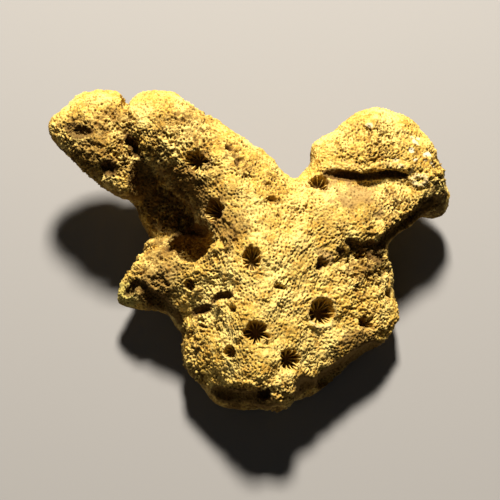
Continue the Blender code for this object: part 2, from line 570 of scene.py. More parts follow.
# The masses of the colony. Each group below is the hull of its lumps.
HEART = Lump((-2.2, 3.0, 8.6), (7.6, 7.6, 7.8))
NECK = Lump((10.8, 2.2, 5.0), (4.6, 4.6, 4.6))
ROOT = Lump((9.4, 7.8, 7.4), (5.2, 4.8, 5.0))
BODY = (
    (
        HEART,
        Lump((-2.2, -10.6, 6.2), (4.0, 5.4, 6.2)),
        Lump((-5.3, -11.2, 4.2), (3.2, 4.4, 4.2)),
        Lump((0.9, -11.0, 4.6), (3.2, 4.4, 4.4)),
        Lump((-6.6, -7.8, 4.6), (5.0, 5.2, 5.0)),
        Lump((4.4, -8.4, 4.4), (5.6, 4.8, 5.0)),
        Lump((11.7, -3.1, 3.8), (4.5, 4.4, 4.0)),
        NECK,
    ),
    (HEART, Lump((2.0, 8.6, 8.6), (5.0, 4.8, 6.4)), ROOT, NECK),
    (
        Lump((-5.2, -2.0, 1.0), (5.6, 7.0, 5.0)),
        Lump((3.6, -5.0, 1.0), (6.0, 7.0, 5.0)),
        Lump((0.5, 5.0, 1.0), (7.5, 5.5, 5.0)),
    ),
)
SHOULDER = Lump((-4.2, 11.0, 10.8), (6.2, 5.9, 6.6))
CREST = Lump((-9.6, 15.8, 12.2), (5.2, 4.8, 5.8))
LEFT_TIP = (
    Lump((-22.2, 20.1, 12.6), (4.9, 4.6, 3.7), (16, 0, 0)),
    Lump((-25.0, 19.6, 12.2), (4.0, 3.4, 3.2), (16, 0, 0)),
    Lump((-18.6, 13.8, 10.6), (3.8, 3.2, 3.6), (16, 0, 0)),
    Lump((-22.2, 16.5, 11.9), (3.6, 3.0, 3.5), (16, 0, 0)),
)
LEFT_ARM = (
    (HEART, SHOULDER),
    (SHOULDER, CREST),
    (CREST, Lump((-15.2, 19.4, 12.6), (5.0, 5.0, 5.0))),
    LEFT_TIP,
    (Lump((-16.6, 14.6, 7.6), (3.2, 3.0, 3.0)), Lump((-11.2, 8.4, 4.2), (5.0, 3.8, 3.4))),
)
CRUST = Lump((17.6, 16.4, 9.6), (4.0, 3.8, 3.6))
CRUST_END = Lump((19.2, 13.9, 8.8), (3.0, 4.2, 3.8))
RIGHT_ARM = (
    (
        Lump((9.4, 16.3, 9.6), (4.9, 3.8, 3.4)),
        Lump((13.8, 18.5, 9.4), (6.0, 5.2, 4.6), (0, 0, 20)),
        CRUST,
    ),
    (CRUST, CRUST_END),
    (ROOT, Lump((7.4, 12.6, 8.0), (4.6, 4.0, 4.2))),
    (
        ROOT,
        Lump((12.4, 12.0, 6.9), (5.4, 4.2, 3.8)),
        Lump((18.2, 12.2, 7.6), (3.2, 2.4, 3.2)),
        Lump((14.4, 9.1, 8.2), (3.6, 2.6, 3.0)),
    ),
    (Lump((20.9, 12.2, 6.2), (2.4, 2.6, 3.0)), CRUST_END),
)
STUB_ROOT = Lump((-10.6, 1.6, 6.2), (5.0, 5.4, 5.4))
STUB = (
    (HEART, STUB_ROOT),
    (STUB_ROOT, Lump((-13.2, 3.8, 4.6), (3.2, 3.6, 4.2))),
    (STUB_ROOT, Lump((-9.8, -2.6, 4.8), (3.6, 3.4, 4.0))),
    (STUB_ROOT, Lump((-15.4, 0.9, 5.6), (3.8, 3.8, 3.8)), Lump((-18.8, -1.0, 5.4), (1.6, 1.2, 1.6))),
)
BREAKS = (
    Break((-2.4, -20.2, 4.0), (24.0, 10.0, 30.0), (-8, 0, 0)),
    Break((12.7, -14.1, 4.0), (24.0, 10.0, 30.0), (-10, 0, 32)),
)
HOLLOWS = (
    Lump((-9.9, 4.0, 11.4), (2.9, 2.7, 4.0)),
    Lump((11.4, 2.8, 11.2), (3.4, 1.4, 1.8), (0, 8, 18)),
    Lump((-0.8, -15.6, 9.4), (3.6, 1.6, 1.8)),
)
FORKS = (
    Fork(Part.LEFT, (-13.0, 7.7, 10.0), 118.0, 34.0),
    Fork(Part.RIGHT, (9.8, 11.4, 10.0), 50.0, 30.0),
    Fork(Part.STUB, (-14.8, 0.2, 8.0), 193.0, 16.0),
)

# What is carved out of the growth with crisp edges.
GOUGES = (
    # The gap under the crust of the right arm, with painted shade in it.
    Chain(
        (
            Lump((6.9, 13.3, 12.2), (0.5, 0.45, 0.5)),
            Lump((8.2, 13.3, 12.0), (0.7, 0.6, 0.55)),
            Lump((9.8, 13.5, 11.7), (0.8, 0.9, 0.5)),
            Lump((11.4, 13.5, 11.5), (0.8, 0.8, 0.4)),
            Lump((12.4, 13.3, 11.4), (0.6, 0.6, 0.3)),
            Lump((13.8, 14.1, 11.6), (0.8, 1.0, 0.45)),
            Lump((15.3, 14.0, 11.7), (0.8, 0.9, 0.45)),
            Lump((16.8, 13.6, 11.7), (0.6, 0.7, 0.35)),
        ),
        Mask.HOLLOW_SHADE,
        0.9,
        0.25,
    ),
    # The underside of the ledge below it, with painted shade on it.
    Chain(
        (
            Lump((20.1, 10.4, 9.6), (1.0, 1.1, 1.0)),
            Lump((18.6, 8.9, 9.0), (1.1, 1.0, 1.1)),
            Lump((16.9, 7.5, 9.2), (0.9, 0.9, 1.0)),
            Lump((15.2, 6.0, 9.0), (1.1, 1.0, 1.0)),
            Lump((13.8, 4.9, 9.4), (0.8, 0.8, 0.9)),
        ),
        Mask.STAIN_AND_SHADE,
        0.95,
    ),
    # The ragged hollow between the ledge and the right rim, with painted shade in its pits.
    Chain((Lump((8.4, 2.9, 12.0), (0.7, 0.5, 0.9)),), Mask.HOLLOW_SHADE, 0.8),
    Chain(
        (Lump((9.5, 4.2, 11.5), (0.8, 0.5, 0.8)), Lump((10.9, 3.7, 10.9), (1.1, 0.5, 1.0))),
        Mask.HOLLOW_SHADE,
        0.8,
    ),
    Chain((Lump((10.2, 2.1, 11.5), (0.8, 0.4, 0.8)),), Mask.HOLLOW_SHADE, 0.7),
    Chain(
        (Lump((12.3, 4.3, 10.2), (0.9, 0.6, 1.0)), Lump((13.3, 3.0, 9.3), (0.7, 0.8, 0.9))),
        Mask.HOLLOW_SHADE,
        0.8,
    ),
    Chain((Lump((12.4, 1.6, 10.0), (0.7, 0.4, 0.7)),), Mask.HOLLOW_SHADE, 0.6),
    # The notch and the gashes between the lobes of the left arm, with painted shade in the gashes, and the
    # shaded side of its tip, with painted shade on it.
    Chain((Lump((-18.9, 23.0, 13.5), (0.9, 1.0, 2.0)), Lump((-19.0, 21.3, 15.7), (0.3, 0.5, 0.3)))),
    Chain(
        (
            Lump((-18.6, 17.0, 15.2), (0.25, 0.3, 0.5)),
            Lump((-17.9, 16.1, 14.8), (0.4, 0.4, 0.8)),
            Lump((-17.2, 15.2, 14.4), (0.35, 0.4, 0.7)),
            Lump((-16.5, 14.7, 14.2), (0.25, 0.3, 0.5)),
        ),
        Mask.HOLLOW_SHADE,
        0.9,
    ),
    Chain(
        (
            Lump((-17.0, 13.4, 13.9), (0.9, 0.8, 1.3)),
            Lump((-16.6, 11.9, 12.6), (1.6, 1.2, 1.8)),
            Lump((-16.0, 10.2, 10.6), (1.6, 1.4, 1.8)),
        ),
        Mask.STAIN_AND_SHADE,
        0.9,
    ),
    # The worn far edges of both arms.
    Chain((Lump((-7.1, 23.5, 14.5), (6.0, 3.6, 7.0), (0, 0, -32)),)),
    Chain((Lump((16.6, 25.3, 10.5), (6.0, 3.6, 7.0), (0, 0, -28)),)),
    Chain((Lump((24.0, 18.0, 10.0), (3.6, 6.0, 7.0), (0, 0, 20)),)),
    # The ragged pits in the left arm's tip, with painted shade in them.
    Chain(
        (
            Lump((-25.8, 18.4, 15.0), (0.7, 0.5, 0.5)),
            Lump((-24.7, 17.8, 15.1), (0.8, 0.8, 0.9)),
            Lump((-23.4, 17.5, 15.6), (0.6, 0.4, 0.5)),
        ),
        Mask.HOLLOW_SHADE,
        0.8,
    ),
    Chain((Lump((-20.8, 13.4, 13.9), (0.8, 0.9, 1.0)),), Mask.HOLLOW_SHADE, 0.9),
    # The crescents beside the loose plate, with painted shade in them.
    Chain(
        (
            Lump((-7.4, -3.7, 12.6), (0.5, 0.35, 1.0)),
            Lump((-6.5, -3.2, 12.8), (0.7, 0.45, 1.4)),
            Lump((-5.4, -3.4, 13.0), (0.5, 0.35, 1.0)),
        ),
        Mask.HOLLOW_SHADE,
        0.95,
    ),
    Chain(
        (
            Lump((-9.9, -4.3, 9.8), (0.5, 0.4, 1.1)),
            Lump((-9.0, -4.3, 10.6), (0.6, 0.5, 1.4)),
            Lump((-8.2, -4.3, 11.0), (0.5, 0.4, 1.1)),
        ),
        Mask.HOLLOW_SHADE,
        0.95,
    ),
    # The stub's waist, the notch in its tip, and the hollow above it, with painted shade in the notch and
    # the hollow.
    Chain((Lump((-18.8, 3.1, 7.0), (1.5, 1.4, 3.5)),)),
    Chain(
        (
            Lump((-18.5, -1.0, 7.5), (0.6, 0.5, 0.8)),
            Lump((-17.3, -0.3, 8.5), (0.6, 0.6, 0.9)),
            Lump((-16.3, -0.7, 8.9), (0.5, 0.6, 0.8)),
        ),
        Mask.HOLLOW_SHADE,
        0.8,
    ),
    Chain(
        (
            Lump((-13.4, 4.7, 10.0), (0.7, 0.8, 0.9)),
            Lump((-12.2, 4.4, 8.9), (1.3, 1.7, 2.4)),
            Lump((-10.4, 4.2, 8.4), (1.6, 1.9, 2.5)),
            Lump((-9.4, 2.5, 11.2), (1.0, 1.4, 1.7)),
        ),
        Mask.HOLLOW_SHADE,
        0.3,
    ),
    Chain(
        (
            Lump((-12.0, 6.7, 9.4), (0.8, 0.5, 1.0)),
            Lump((-10.6, 6.8, 9.4), (1.0, 0.6, 1.5)),
            Lump((-9.0, 6.0, 10.8), (0.6, 0.6, 1.4)),
            Lump((-8.3, 4.2, 12.6), (0.5, 0.7, 1.0)),
        ),
        Mask.HOLLOW_SHADE,
        0.8,
    ),
    # The shaded sides of the stub and of the right rim, with painted shade on them.
    Chain(
        (
            Lump((-15.8, -1.7, 8.2), (1.0, 1.0, 1.2)),
            Lump((-14.2, -3.0, 7.9), (1.2, 1.0, 1.5)),
            Lump((-12.6, -4.9, 7.8), (1.0, 1.0, 1.6)),
        ),
        Mask.STAIN_AND_SHADE,
        0.9,
        0.3,
    ),
    Chain(
        (
            Lump((6.0, -11.9, 5.0), (0.8, 0.8, 2.8)),
            Lump((8.3, -10.6, 4.8), (1.0, 1.0, 3.2)),
            Lump((10.4, -9.3, 4.4), (1.2, 1.1, 3.4)),
            Lump((12.6, -7.9, 3.9), (1.2, 1.1, 3.2)),
        ),
        Mask.STAIN_AND_SHADE,
        0.7,
    ),
    # The broken lower rim, with painted shade under it.
    Chain(
        (
            Lump((-6.8, -14.1, 6.7), (1.2, 0.9, 1.0)),
            Lump((-4.6, -14.9, 7.9), (1.2, 1.0, 1.2)),
            Lump((-3.2, -15.3, 8.0), (1.0, 1.1, 1.2)),
            Lump((-1.2, -15.2, 8.4), (1.2, 1.1, 1.0)),
        ),
        Mask.STAIN_AND_SHADE,
        0.8,
        0.6,
    ),
    # The recess beside the buttress, with painted shade in it.
    Chain(
        (Lump((3.6, -13.5, 8.8), (0.9, 1.1, 1.2)), Lump((4.4, -13.6, 6.6), (1.4, 1.3, 1.6))),
        Mask.STAIN_AND_SHADE,
        0.9,
        0.4,
    ),
)

# What stands on the growth with crisp edges.
KNOBS = (
    # The lip of the crust.
    Chain(
        (
            Lump((6.6, 14.2, 12.0), (0.7, 0.7, 0.4)),
            Lump((8.4, 14.4, 12.2), (0.9, 0.8, 0.45)),
            Lump((9.8, 14.3, 12.3), (0.9, 0.8, 0.5)),
            Lump((11.5, 14.0, 12.3), (0.9, 0.8, 0.5)),
            Lump((13.0, 14.3, 12.4), (0.9, 0.8, 0.5)),
            Lump((14.8, 14.5, 12.5), (0.9, 0.8, 0.5)),
            Lump((17.0, 14.2, 12.5), (0.9, 0.8, 0.5)),
        ),
        Mask.CHALK,
        0.1,
    ),
    # The raised edge of the ledge.
    Chain(
        (
            Lump((19.0, 11.9, 11.3), (1.2, 0.9, 0.5)),
            Lump((17.0, 9.7, 10.7), (1.2, 0.9, 0.5)),
            Lump((14.6, 7.7, 10.6), (1.2, 0.9, 0.5)),
            Lump((13.0, 6.2, 10.9), (1.2, 0.9, 0.5)),
        ),
    ),
    # The buttress of the lower rim.
    Chain(
        (
            Lump((1.0, -12.6, 9.6), (1.5, 1.2, 1.3)),
            Lump((0.9, -13.9, 8.9), (1.5, 1.1, 1.4)),
            Lump((0.2, -14.8, 8.2), (1.9, 1.0, 1.3)),
            Lump((-1.1, -15.3, 7.9), (1.5, 0.7, 0.9)),
            Lump((0.5, -14.6, 5.2), (2.0, 1.0, 1.4)),
        ),
    ),
    # The stub's shoulder, the loose plate, the flake on the left arm and the chips on the crust.
    Chain((Lump((-15.6, 5.2, 6.8), (1.0, 0.9, 2.0)),)),
    Chain((Lump((-6.3, -4.4, 12.5), (1.0, 0.75, 0.35), (15, 20, 0)),)),
    Chain((Lump((-21.1, 12.1, 13.0), (0.9, 0.45, 0.3), (25, 0, 10)),), Mask.CHALK, 0.1),
    Chain(
        (Lump((19.4, 15.7, 12.6), (0.25, 0.2, 0.2)), Lump((19.9, 15.9, 12.4), (0.35, 0.2, 0.25))),
        Mask.CHALK,
        0.8,
        0.7,
    ),
    Chain(
        (Lump((18.0, 17.4, 13.1), (0.2, 0.25, 0.2)), Lump((18.5, 17.1, 13.0), (0.25, 0.15, 0.2))),
        Mask.CHALK,
        0.7,
        0.7,
    ),
    Chain((Lump((17.8, 18.1, 12.9), (0.2, 0.2, 0.2)),), Mask.CHALK, 0.6, 0.7),
    Chain((Lump((19.3, 15.0, 12.4), (0.25, 0.15, 0.2)),), Mask.CHALK, 0.6, 0.7),
    Chain(
        (Lump((12.0, 19.4, 13.9), (0.3, 0.2, 0.2)), Lump((12.5, 19.2, 13.9), (0.2, 0.3, 0.2))),
        Mask.CHALK,
        0.5,
        0.7,
    ),
    # The small ring plate, and the thin plate at the ledge's end.
    Chain(
        (
            Lump((17.6, 12.6, 12.0), (0.22, 0.22, 0.3)),
            Lump((18.2, 13.0, 12.3), (0.22, 0.22, 0.3)),
            Lump((19.2, 12.8, 12.4), (0.22, 0.22, 0.3)),
            Lump((19.5, 12.2, 12.2), (0.22, 0.22, 0.3)),
            Lump((18.8, 11.8, 11.9), (0.22, 0.22, 0.3)),
            Lump((17.9, 11.9, 11.8), (0.22, 0.22, 0.3)),
            Lump((17.6, 12.6, 12.0), (0.22, 0.22, 0.3)),
        ),
        Mask.CHALK,
        0.4,
        0.6,
    ),
    Chain(
        (Lump((20.2, 12.0, 11.5), (0.18, 0.4, 0.5)), Lump((20.1, 10.9, 10.9), (0.18, 0.4, 0.5))),
        calm=0.8,
    ),
)

# The coral cups, by the names cup_1 to cup_9 of their ribs.
CUPS = (
    Cup((5.9, -4.7, 10.9), (1.75, 1.75), 2.2, (0.25, -0.2), 22, rim=0.14, ragged=0.1),
    Cup((-2.4, -8.1, 13.3), (1.45, 1.45), 2.0, (-0.05, -0.25), 20, rim=0.05, ragged=0.25),
    Cup((1.9, -10.9, 10.9), (1.45, 1.45), 2.0, (0.25, -0.35), 20, rim=0.03, ragged=0.3),
    Cup((-7.4, 7.0, 15.3), (1.5, 1.4), 2.3, (-0.4, -0.15), 20, rim=0.05, ragged=0.25),
    Cup((-2.8, 0.5, 15.9), (1.15, 1.6), 1.8, (0.0, -0.1), 18, rim=0.06),
    Cup((-9.8, 13.0, 17.2), (1.4, 1.35), 2.0, (-0.25, -0.25), 16, rim=0.03, ragged=0.3, part=Part.LEFT),
    Cup((5.7, 12.0, 12.1), (1.35, 1.35), 1.6, (0.0, 0.1), 14, rim=0.05, ragged=0.3),
    Cup((-5.4, -9.9, 11.0), (0.9, 0.9), 1.0, (-0.4, -0.3), 12, rim=0.06),
    Cup((-10.5, -1.3, 11.0), (0.8, 0.8), 0.9, (-0.3, -0.4), 10, rim=0.05),
)

# The pits and holes that have no ribs, and the dips in the broken rim, each with painted shade on its
# floor.
DENTS = (
    Dent(Spot((-1.2, -14.4, 8.9), (1.0, 1.2, 1.2), 0.0, 0.25), 1.1, 0.5, Mask.HOLLOW_SHADE, 0.9),
    Dent(Spot((11.6, -5.3, 7.9), (1.1, 1.0, 1.6), ragged=0.3), 1.2, 0.6, Mask.HOLLOW_SHADE, 0.9),
    Dent(Spot((14.8, -1.0, 6.6), (0.8, 0.7, 1.6), ragged=0.3), 0.9, 0.6, Mask.HOLLOW_SHADE, 0.9),
    Dent(Spot((-5.6, 14.8, 17.0), (0.7, 0.8, 1.4), ragged=0.4), 0.6, 0.6, Mask.HOLLOW_SHADE, 0.8),
    Dent(Spot((-11.6, -8.4, 7.6), (0.9, 1.2, 1.6), ragged=0.4), 0.7, 0.6, Mask.HOLLOW_SHADE, 0.6),
    Dent(Spot((-5.1, -5.1, 12.9), (0.6, 0.5, 1.5), 0.0, 0.3), 1.0, 0.6, Mask.HOLLOW_SHADE, 1.0),
    Dent(Spot((0.7, -2.6, 14.2), (0.9, 0.35, 1.5), 0.0, 0.3), 0.8, 0.6, Mask.HOLLOW_SHADE, 0.9),
    Dent(Spot((5.9, 0.8, 12.7), (1.1, 1.1, 1.8), 0.0, 0.4), 1.3, 0.6, Mask.HOLLOW_SHADE, 0.9),
    Dent(Spot((0.1, 8.0, 15.9), (1.5, 0.8, 1.8), 0.0, 0.35), 0.5, 0.6, Mask.HOLLOW_SHADE, 0.5),
    Dent(Spot((9.0, 1.9, 12.0), (1.3, 1.0, 2.0), 0.0, 0.4), 0.9, 0.6, Mask.HOLLOW_SHADE, 0.7),
    Dent(Spot((11.6, 3.2, 10.8), (2.0, 1.0, 2.0), 18.0, 0.4), 0.8, 0.6, Mask.HOLLOW_SHADE, 0.7),
    Dent(Spot((14.0, 1.4, 8.6), (1.2, 0.9, 2.0), 0.0, 0.4), 0.7, 0.6, Mask.HOLLOW_SHADE, 0.6),
)

TRAILS = (
    # The ridge under the largest cup, with a painted highlight in the chalk colour; the groove between the
    # lobes and the crack along the left arm, with painted shade in them.
    Trail(((4.5, -6.3, 10.8), (5.9, -6.9, 10.5), (7.4, -6.3, 10.2)), 0.6, -0.35, 0.0, Mask.CHALK, 0.15),
    Trail(
        ((-18.9, 20.8, 15.6), (-19.0, 18.3, 15.7), (-17.6, 15.6, 14.8)),
        1.4,
        0.35,
        0.5,
        Mask.HOLLOW_SHADE,
        0.2,
    ),
    Trail(
        ((-5.6, 14.8, 17.2), (-4.7, 13.4, 17.3), (-4.6, 12.2, 17.2), (-3.9, 11.0, 16.8)),
        0.4,
        0.7,
        0.35,
        Mask.HOLLOW_SHADE,
        0.9,
    ),
    # The scratches below the loose plate and the crack in the hollow above the stub, with painted shade in
    # them, and the rim's ridge.
    Trail(((-9.6, -6.0, 9.6), (-8.4, -6.6, 10.4)), 0.22, 0.45, 0.1, Mask.HOLLOW_SHADE, 0.8),
    Trail(((-9.4, -6.9, 9.6), (-8.2, -7.2, 10.4)), 0.22, 0.45, 0.1, Mask.HOLLOW_SHADE, 0.8),
    Trail(((-9.9, -5.2, 9.4), (-8.8, -5.7, 10.2)), 0.22, 0.4, 0.1, Mask.HOLLOW_SHADE, 0.8),
    Trail(
        ((-12.9, 6.9, 8.0), (-11.9, 7.4, 8.2), (-10.5, 6.8, 9.4), (-9.3, 6.0, 9.3)),
        0.3,
        0.5,
        0.15,
        Mask.HOLLOW_SHADE,
        0.8,
    ),
    Trail(((-6.0, -13.2, 9.0), (-3.0, -13.8, 10.9), (0.8, -13.6, 9.6)), 0.5, -0.25, 0.2),
)

# How sharp the edges of each kind of spot are.
ROUGH_EDGE = 2.0
DUST_AND_SHADE_EDGE = 1.3
PAINTED_SHADE_EDGE = 2.5
CALM_EDGE = 2.5
GREY_EDGE = 1.4
GREEN_EDGE = 2.0
CHIPPED_EDGE = 2.0

# How rough the growth is away from its usual grain.
ROUGH_SPOTS = (
    (Spot((-22.0, 17.0, 13.0), (7.5, 7.5, 7.5)), 0.9),
    (Spot((-12.0, 14.5, 14.0), (8.5, 8.0, 7.5)), 0.85),
    (Spot((-13.5, 9.5, 9.0), (4.5, 4.5, 5.0)), 1.0),
    (Spot((-8.0, 4.0, 13.0), (6.0, 6.0, 6.0)), 0.7),
    (Spot((-11.0, 19.0, 16.0), (6.0, 4.5, 5.0)), 1.0),
    (Spot((13.0, 17.5, 12.5), (7.5, 4.5, 4.5)), 0.7),
    (Spot((1.5, 9.0, 14.0), (6.0, 6.0, 5.0)), 0.55),
    (Spot((-4.2, 14.0, 16.8), (2.6, 3.6, 3.0), 20.0, 0.3), 1.0),
    (Spot((14.8, 10.6, 11.0), (3.4, 2.8, 3.0)), 0.8),
    (Spot((16.5, 8.6, 9.5), (6.0, 2.6, 3.0), 40.0), 1.0),
    (Spot((-11.5, 5.0, 9.0), (5.0, 4.5, 4.5)), 1.0),
    (Spot((12.0, 1.0, 8.0), (6.5, 5.0, 6.0)), 1.0),
    (Spot((13.0, -4.0, 6.0), (5.0, 5.0, 6.0)), 0.6),
    (Spot((-15.0, 1.5, 7.0), (6.0, 6.0, 6.0)), 0.9),
    (Spot((-10.5, -9.0, 6.5), (3.5, 6.0, 5.0)), 0.9),
    (Spot((19.5, 14.5, 10.0), (4.5, 4.5, 5.0)), 1.0),
    (Spot((-1.0, -15.0, 7.0), (8.0, 3.5, 6.0)), 0.9),
)

# Where brown dust has settled, and where shade is painted on the shaded face under the right rim and in the
# hollow above the stub, and how thickly.
DUST_AND_SHADE_SPOTS = (
    (Spot((-6.0, 5.8, 15.3), (5.8, 5.5, 4.5), 0.0, 0.4), 0.8),
    (Spot((7.0, 6.8, 12.5), (5.0, 3.6, 3.0), 0.0, 0.5), 0.4),
    (Spot((-13.5, 0.5, 9.0), (5.0, 5.0, 5.0), 0.0, 0.4), 0.8),
    (Spot((-22.0, 16.5, 14.5), (5.5, 5.0, 4.5), 0.0, 0.5), 0.65),
    (Spot((-10.0, 11.0, 15.0), (6.0, 4.0, 4.5), -40.0, 0.5), 0.6),
    # Painted shade on the face under the right rim.
    (Spot((10.2, -7.4, 7.6), (4.6, 1.8, 2.6), 27.0, 0.4), 0.85),
    (Spot((12.0, 8.2, 11.2), (5.5, 4.0, 3.0), 20.0, 0.5), 0.4),
    # Painted shade in the hollow above the stub.
    (Spot((-10.8, 4.4, 8.6), (3.8, 3.2, 3.6), 0.0, 0.3), 0.9),
    (Spot((-9.5, 9.5, 14.5), (3.5, 4.5, 4.5), 0.0, 0.5), 0.5),
    (Spot((11.5, 1.5, 10.0), (4.0, 2.5, 4.0), 0.0, 0.4), 0.5),
    (Spot((3.5, 1.8, 14.0), (3.0, 1.8, 3.0), 60.0, 0.4), 0.4),
    (Spot((-12.5, 18.0, 16.5), (6.5, 4.0, 4.0), 0.0, 0.6), 0.4),
    (Spot((-3.0, 12.5, 15.5), (4.0, 3.5, 4.0), 0.0, 0.6), 0.35),
)

# Painted shade, in the brown of the broken faces, on places that lie in shade: the left arm's flank, the
# hollow above the stub and beside it, the right lobe and the face under the lower rim.
PAINTED_SHADE_SPOTS = (
    Spot((-14.5, 9.5, 9.5), (5.5, 4.5, 4.5), ragged=0.3),
    Spot((-11.2, 4.4, 9.2), (3.4, 2.8, 3.4), ragged=0.3),
    Spot((-11.5, 7.6, 8.6), (3.4, 1.6, 3.0), ragged=0.3),
    Spot((20.3, 10.6, 8.4), (3.2, 3.0, 3.4), ragged=0.3),
    Spot((-3.5, -15.2, 7.0), (5.0, 2.2, 3.2), ragged=0.3),
)

# Where the growth is worn smooth, and how much.
CALM_SPOTS = (
    (Spot((9.8, 10.4, 11.6), (3.6, 2.4, 2.5), 0.0, 0.2), 0.3),
    (Spot((6.3, -5.9, 10.6), (1.7, 0.7, 1.6), 0.0, 0.1), 0.8),
)

# The grey worn patches, the green film on the stub's tip and the pale chips on the crust.
GREY_SPOTS = (
    Spot((9.0, 10.1, 11.8), (5.0, 3.0, 3.0), ragged=0.6),
    Spot((6.6, 1.6, 12.4), (2.2, 1.6, 3.0), ragged=0.4),
)
GREEN_SPOT = Spot((-18.4, -0.6, 6.0), (2.6, 2.2, 3.0), ragged=0.3)
CHIPPED_SPOT = Spot((18.6, 15.6, 12.0), (3.4, 4.0, 4.0), ragged=0.3)

# The lines that the trunk, the arms and the stub grew along.
STREAMS = (
    Streamline(
        (
            (-2.0, -17.0, 3.0),
            (-1.5, -4.0, 5.0),
            (-2.5, 5.0, 7.0),
            (-6.0, 12.0, 10.0),
            (-15.2, 19.4, 12.0),
        )
    ),
    Streamline(((-1.5, -4.0, 5.0), (3.0, 5.0, 7.0), (9.4, 8.0, 7.0), (14.0, 18.0, 9.0))),
    Streamline(((-15.0, 12.0, 8.0), (-22.0, 19.0, 12.0), (-27.0, 22.0, 13.0))),
    Streamline(((-3.0, 3.0, 6.0), (-10.6, 1.6, 6.0), (-19.0, -1.0, 5.4))),
    Streamline(((2.0, -3.0, 4.0), (13.0, -4.0, 4.0))),
)


@dataclass(frozen=True)
class Openings:
    """The tiny openings that cover the skin, set as close as they fit.

    Attributes:
        pitch: The least distance between two of them.
        radius: The radius of an opening.
        depth: How deep an opening goes.
        stretch: How much longer than wide one is along the growth.
        sizes: The smallest and the largest of them, as shares of the radius.
        seed: Which pattern they make.
        neighbours: How many of the nearest openings a point may lie in.
        cell_span: How far apart the numbers of two rows of cells are.
        cell_shift: What is added to a cell's number, so that it isn't below nothing.
        wall: How steep their walls are, by the roughness of the growth.
        sink: How much deeper they are, by that roughness.
        cover: How many of them are open, by the noise.
        grain: The noise that leaves some of them closed.
    """

    pitch: float = 0.37
    radius: float = 0.15
    depth: float = 0.18
    stretch: float = 1.3
    sizes: Pair = (0.75, 1.2)
    seed: int = 11
    neighbours: int = 3
    cell_span: int = 1000
    cell_shift: int = 200
    wall: Amount = Amount(1.4, 1.6)
    sink: Amount = Amount(1.0, 0.6)
    cover: Amount = Amount(0.7, 0.9)
    grain: Grain = Grain(60, 1.6, 2)

    def seeds(self, points: np.ndarray) -> np.ndarray:
        """Picks points of the skin that are a pitch apart.

        Args:
            points: The points of the skin, in millimetres.

        Returns:
            The numbers of the picked points.
        """
        order = np.random.default_rng(self.seed).permutation(len(points))
        spots = points.tolist()
        rows = self.cell_span ** np.arange(3)
        cells = np.floor(points / self.pitch).astype(np.int64) + self.cell_shift
        keys = (cells @ rows).tolist()
        around = (np.array(list(product((-1, 0, 1), repeat=3))) @ rows).tolist()
        taken: dict[int, list[list[float]]] = {}
        picked = []
        least = self.pitch**2
        for number in order.tolist():
            x, y, z = spots[number]
            key = keys[number]
            crowded = any(
                (a - x) ** 2 + (b - y) ** 2 + (c - z) ** 2 < least
                for step in around
                for a, b, c in taken.get(key + step, ())
            )
            if not crowded:
                taken.setdefault(key, []).append([x, y, z])
                picked.append(number)
        return np.array(picked)

    def closeness(self, points: np.ndarray, growth: np.ndarray) -> np.ndarray:
        """Tells how near each point is to the middle of an opening.

        Args:
            points: The points of the skin, in millimetres.
            growth: The way the skin grew at each point.

        Returns:
            One at the middle of an opening, nothing at its edge, and less outside it.
        """
        spots = points.tolist()
        seeds = self.seeds(points)
        tree = KDTree(len(seeds))
        for number, seed in enumerate(seeds.tolist()):
            tree.insert(spots[seed], number)
        tree.balance()
        sizes = np.random.default_rng(self.seed + 1).uniform(*self.sizes, len(seeds)) * self.radius
        found = [tree.find_n(spot, self.neighbours) for spot in spots]
        nearest = np.array([[hit[1] for hit in hits] for hits in found])
        best = np.full(len(points), np.inf)
        for column in nearest.T:
            offset = points - points[seeds[column]]
            along = np.einsum("ij,ij->i", offset, growth)
            across = np.maximum(np.einsum("ij,ij->i", offset, offset) - along**2, 0.0)
            away = np.sqrt(across + (along / self.stretch) ** 2) / sizes[column]
            best = np.minimum(best, away)
        return 1.0 - best


@dataclass
class Skin:
    """The skin of the whole colony while its relief is made.

    Attributes:
        points: Its points, in millimetres.
        normals: The way each of them faces.
        masks: What each of them carries for its finish.
    """

    points: np.ndarray
    normals: np.ndarray
    masks: dict[Mask, np.ndarray] = field(default_factory=dict)

    def __post_init__(self) -> None:
        """Starts every mask empty."""
        for mask in Mask:
            self.masks[mask] = np.zeros(len(self.points))

    def lay(self, mask: Mask, amount: np.ndarray) -> None:
        """Adds to a mask, up to one.

        Args:
            mask: The mask.
            amount: How much of it each point gets.
        """
        self.masks[mask] = np.clip(self.masks[mask] + amount, 0.0, 1.0)


